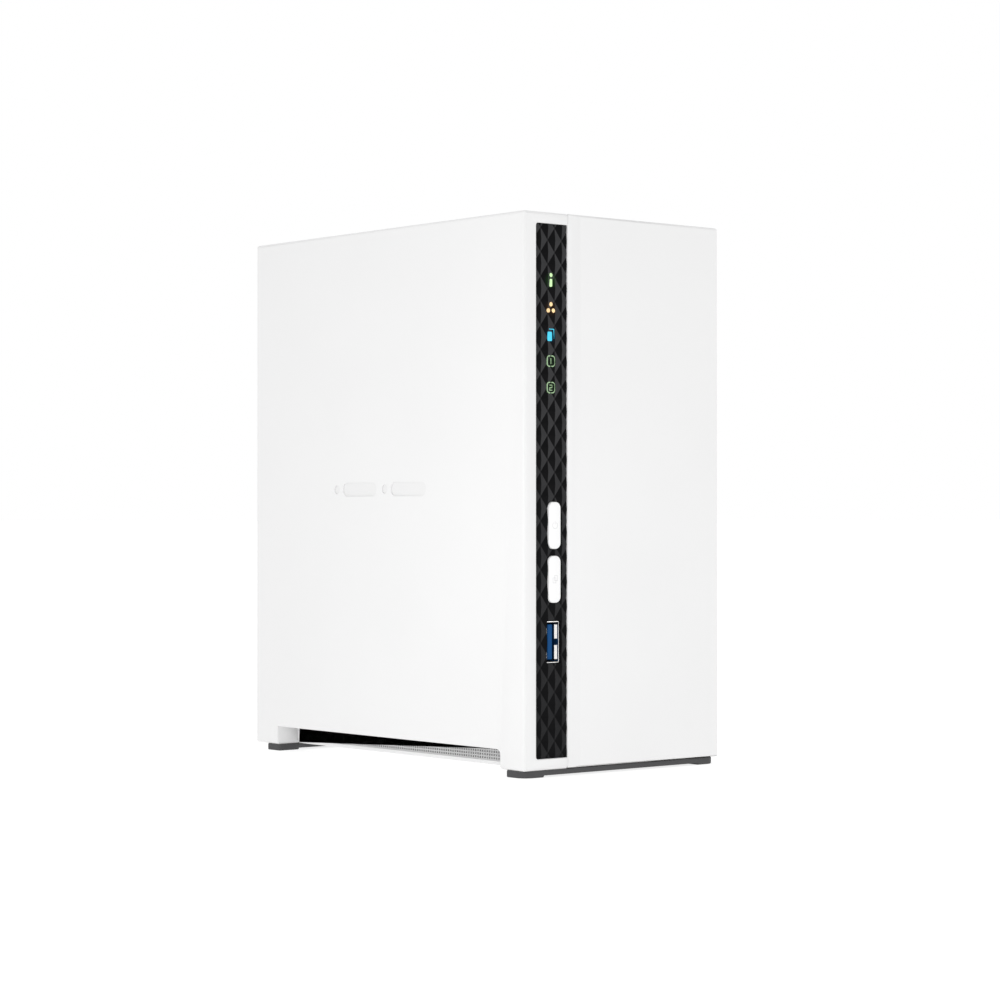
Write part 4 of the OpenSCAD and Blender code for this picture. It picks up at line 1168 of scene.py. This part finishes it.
@dataclass
class Studio:
    """The floor, the lights, the surroundings and the camera."""

    eye: tuple[float, float, float] = (-0.62232, -0.75896, 0.08743)
    yaw: float = 39.78
    pitch: float = 0.346
    lens_mm: float = 96.67

    def floor(self) -> None:
        """Lays a wide pale floor that passes into the white surroundings."""
        bm = bmesh.new()
        bmesh.ops.create_grid(bm, x_segments=1, y_segments=1, size=40.0)
        made = finish_mesh("floor", bm)
        paint = bpy.data.materials.new("floor_paint")
        paint.use_nodes = True
        shader = paint.node_tree.nodes["Principled BSDF"]
        shader.inputs["Base Color"].default_value = (0.32, 0.32, 0.32, 1)
        shader.inputs["Roughness"].default_value = 0.9
        shader.inputs["Specular IOR Level"].default_value = 0.1
        shader.inputs["Emission Color"].default_value = (1, 1, 1, 1)
        shader.inputs["Emission Strength"].default_value = 0.78
        made.data.materials.append(paint)

    def surroundings(self) -> None:
        """White walls all round, a little dimmer overhead than at the sides."""
        world = bpy.data.worlds.new("studio")
        bpy.context.scene.world = world
        world.use_nodes = True
        world.node_tree.nodes.clear()
        g = Graph(world.node_tree)
        ray = g.add("ShaderNodeSeparateXYZ", {0: g.add("ShaderNodeTexCoord").outputs["Generated"]})
        overhead = g.ramp(ray.outputs[2], 0.25, 1.0)
        colour = g.mix(overhead, (1.0, 1.0, 1.0, 1.0), (0.78, 0.78, 0.78, 1.0))
        back = g.add("ShaderNodeBackground", {"Color": colour, "Strength": 1.0})
        g.add("ShaderNodeOutputWorld", {0: back.outputs[0]})

    def lamp(self, name: str, place: Vector, target: Vector, size: float, watts: float) -> None:
        """Hangs one soft square lamp.

        Args:
            name: the lamp's name.
            place: where it hangs.
            target: the point it faces.
            size: the side of its square, in metres.
            watts: its power.
        """
        light = bpy.data.lights.new(name, "AREA")
        light.size = size
        light.energy = watts
        made = bpy.data.objects.new(name, light)
        made.location = place
        made.rotation_euler = (target - place).to_track_quat("-Z", "Y").to_euler()
        made.visible_camera = False
        bpy.context.scene.collection.objects.link(made)

    def camera(self) -> None:
        """Sets the camera up."""
        data = bpy.data.cameras.new("camera")
        data.lens = self.lens_mm
        data.sensor_width = 36.0
        data.clip_start = 0.02
        data.clip_end = 120.0
        made = bpy.data.objects.new("camera", data)
        yaw, pitch = math.radians(self.yaw), math.radians(self.pitch)
        look = Vector((math.sin(yaw) * math.cos(pitch), math.cos(yaw) * math.cos(pitch), math.sin(pitch)))
        made.location = self.eye
        made.rotation_euler = look.to_track_quat("-Z", "Y").to_euler()
        bpy.context.scene.collection.objects.link(made)
        bpy.context.scene.camera = made

    def build(self) -> None:
        """Builds the whole studio."""
        self.floor()
        self.surroundings()
        corner = Vector((-0.045, -0.07, 0.06))
        self.lamp("key", Vector((-0.26, -0.15, 0.06)), corner, 0.16, 0.12)
        band = Vector((-0.022, -0.078, 0.08))
        self.lamp("front", Vector((0.23, -0.5, 0.0)), band, 0.2, 0.24)
        self.camera()
        bpy.context.scene.view_settings.view_transform = "Standard"


def main() -> None:
    """Builds every sub-assembly in order, then the studio."""
    logging.basicConfig(level=logging.INFO, format="%(message)s")
    Studio().build()
    parts = [
        Housing(), Controls(), UsbSocket(), RearPorts(), MainBoard(), Drive(number=1), Drive(number=2, x=9.8),
        Bay(), Fan(),
    ]
    for number, z in ((1, 64.0), (2, 82.0)):
        parts.append(UsbSocket(
            name=f"rear_usb_{number}", shell=f"rear_usb_shell_{number}", tongue=f"rear_usb_tongue_{number}",
            z=z, mouth=77.05, inward=-1,
        ))
    for part in parts:
        part.build()
        part.dress()


if __name__ == "__main__":
    main()
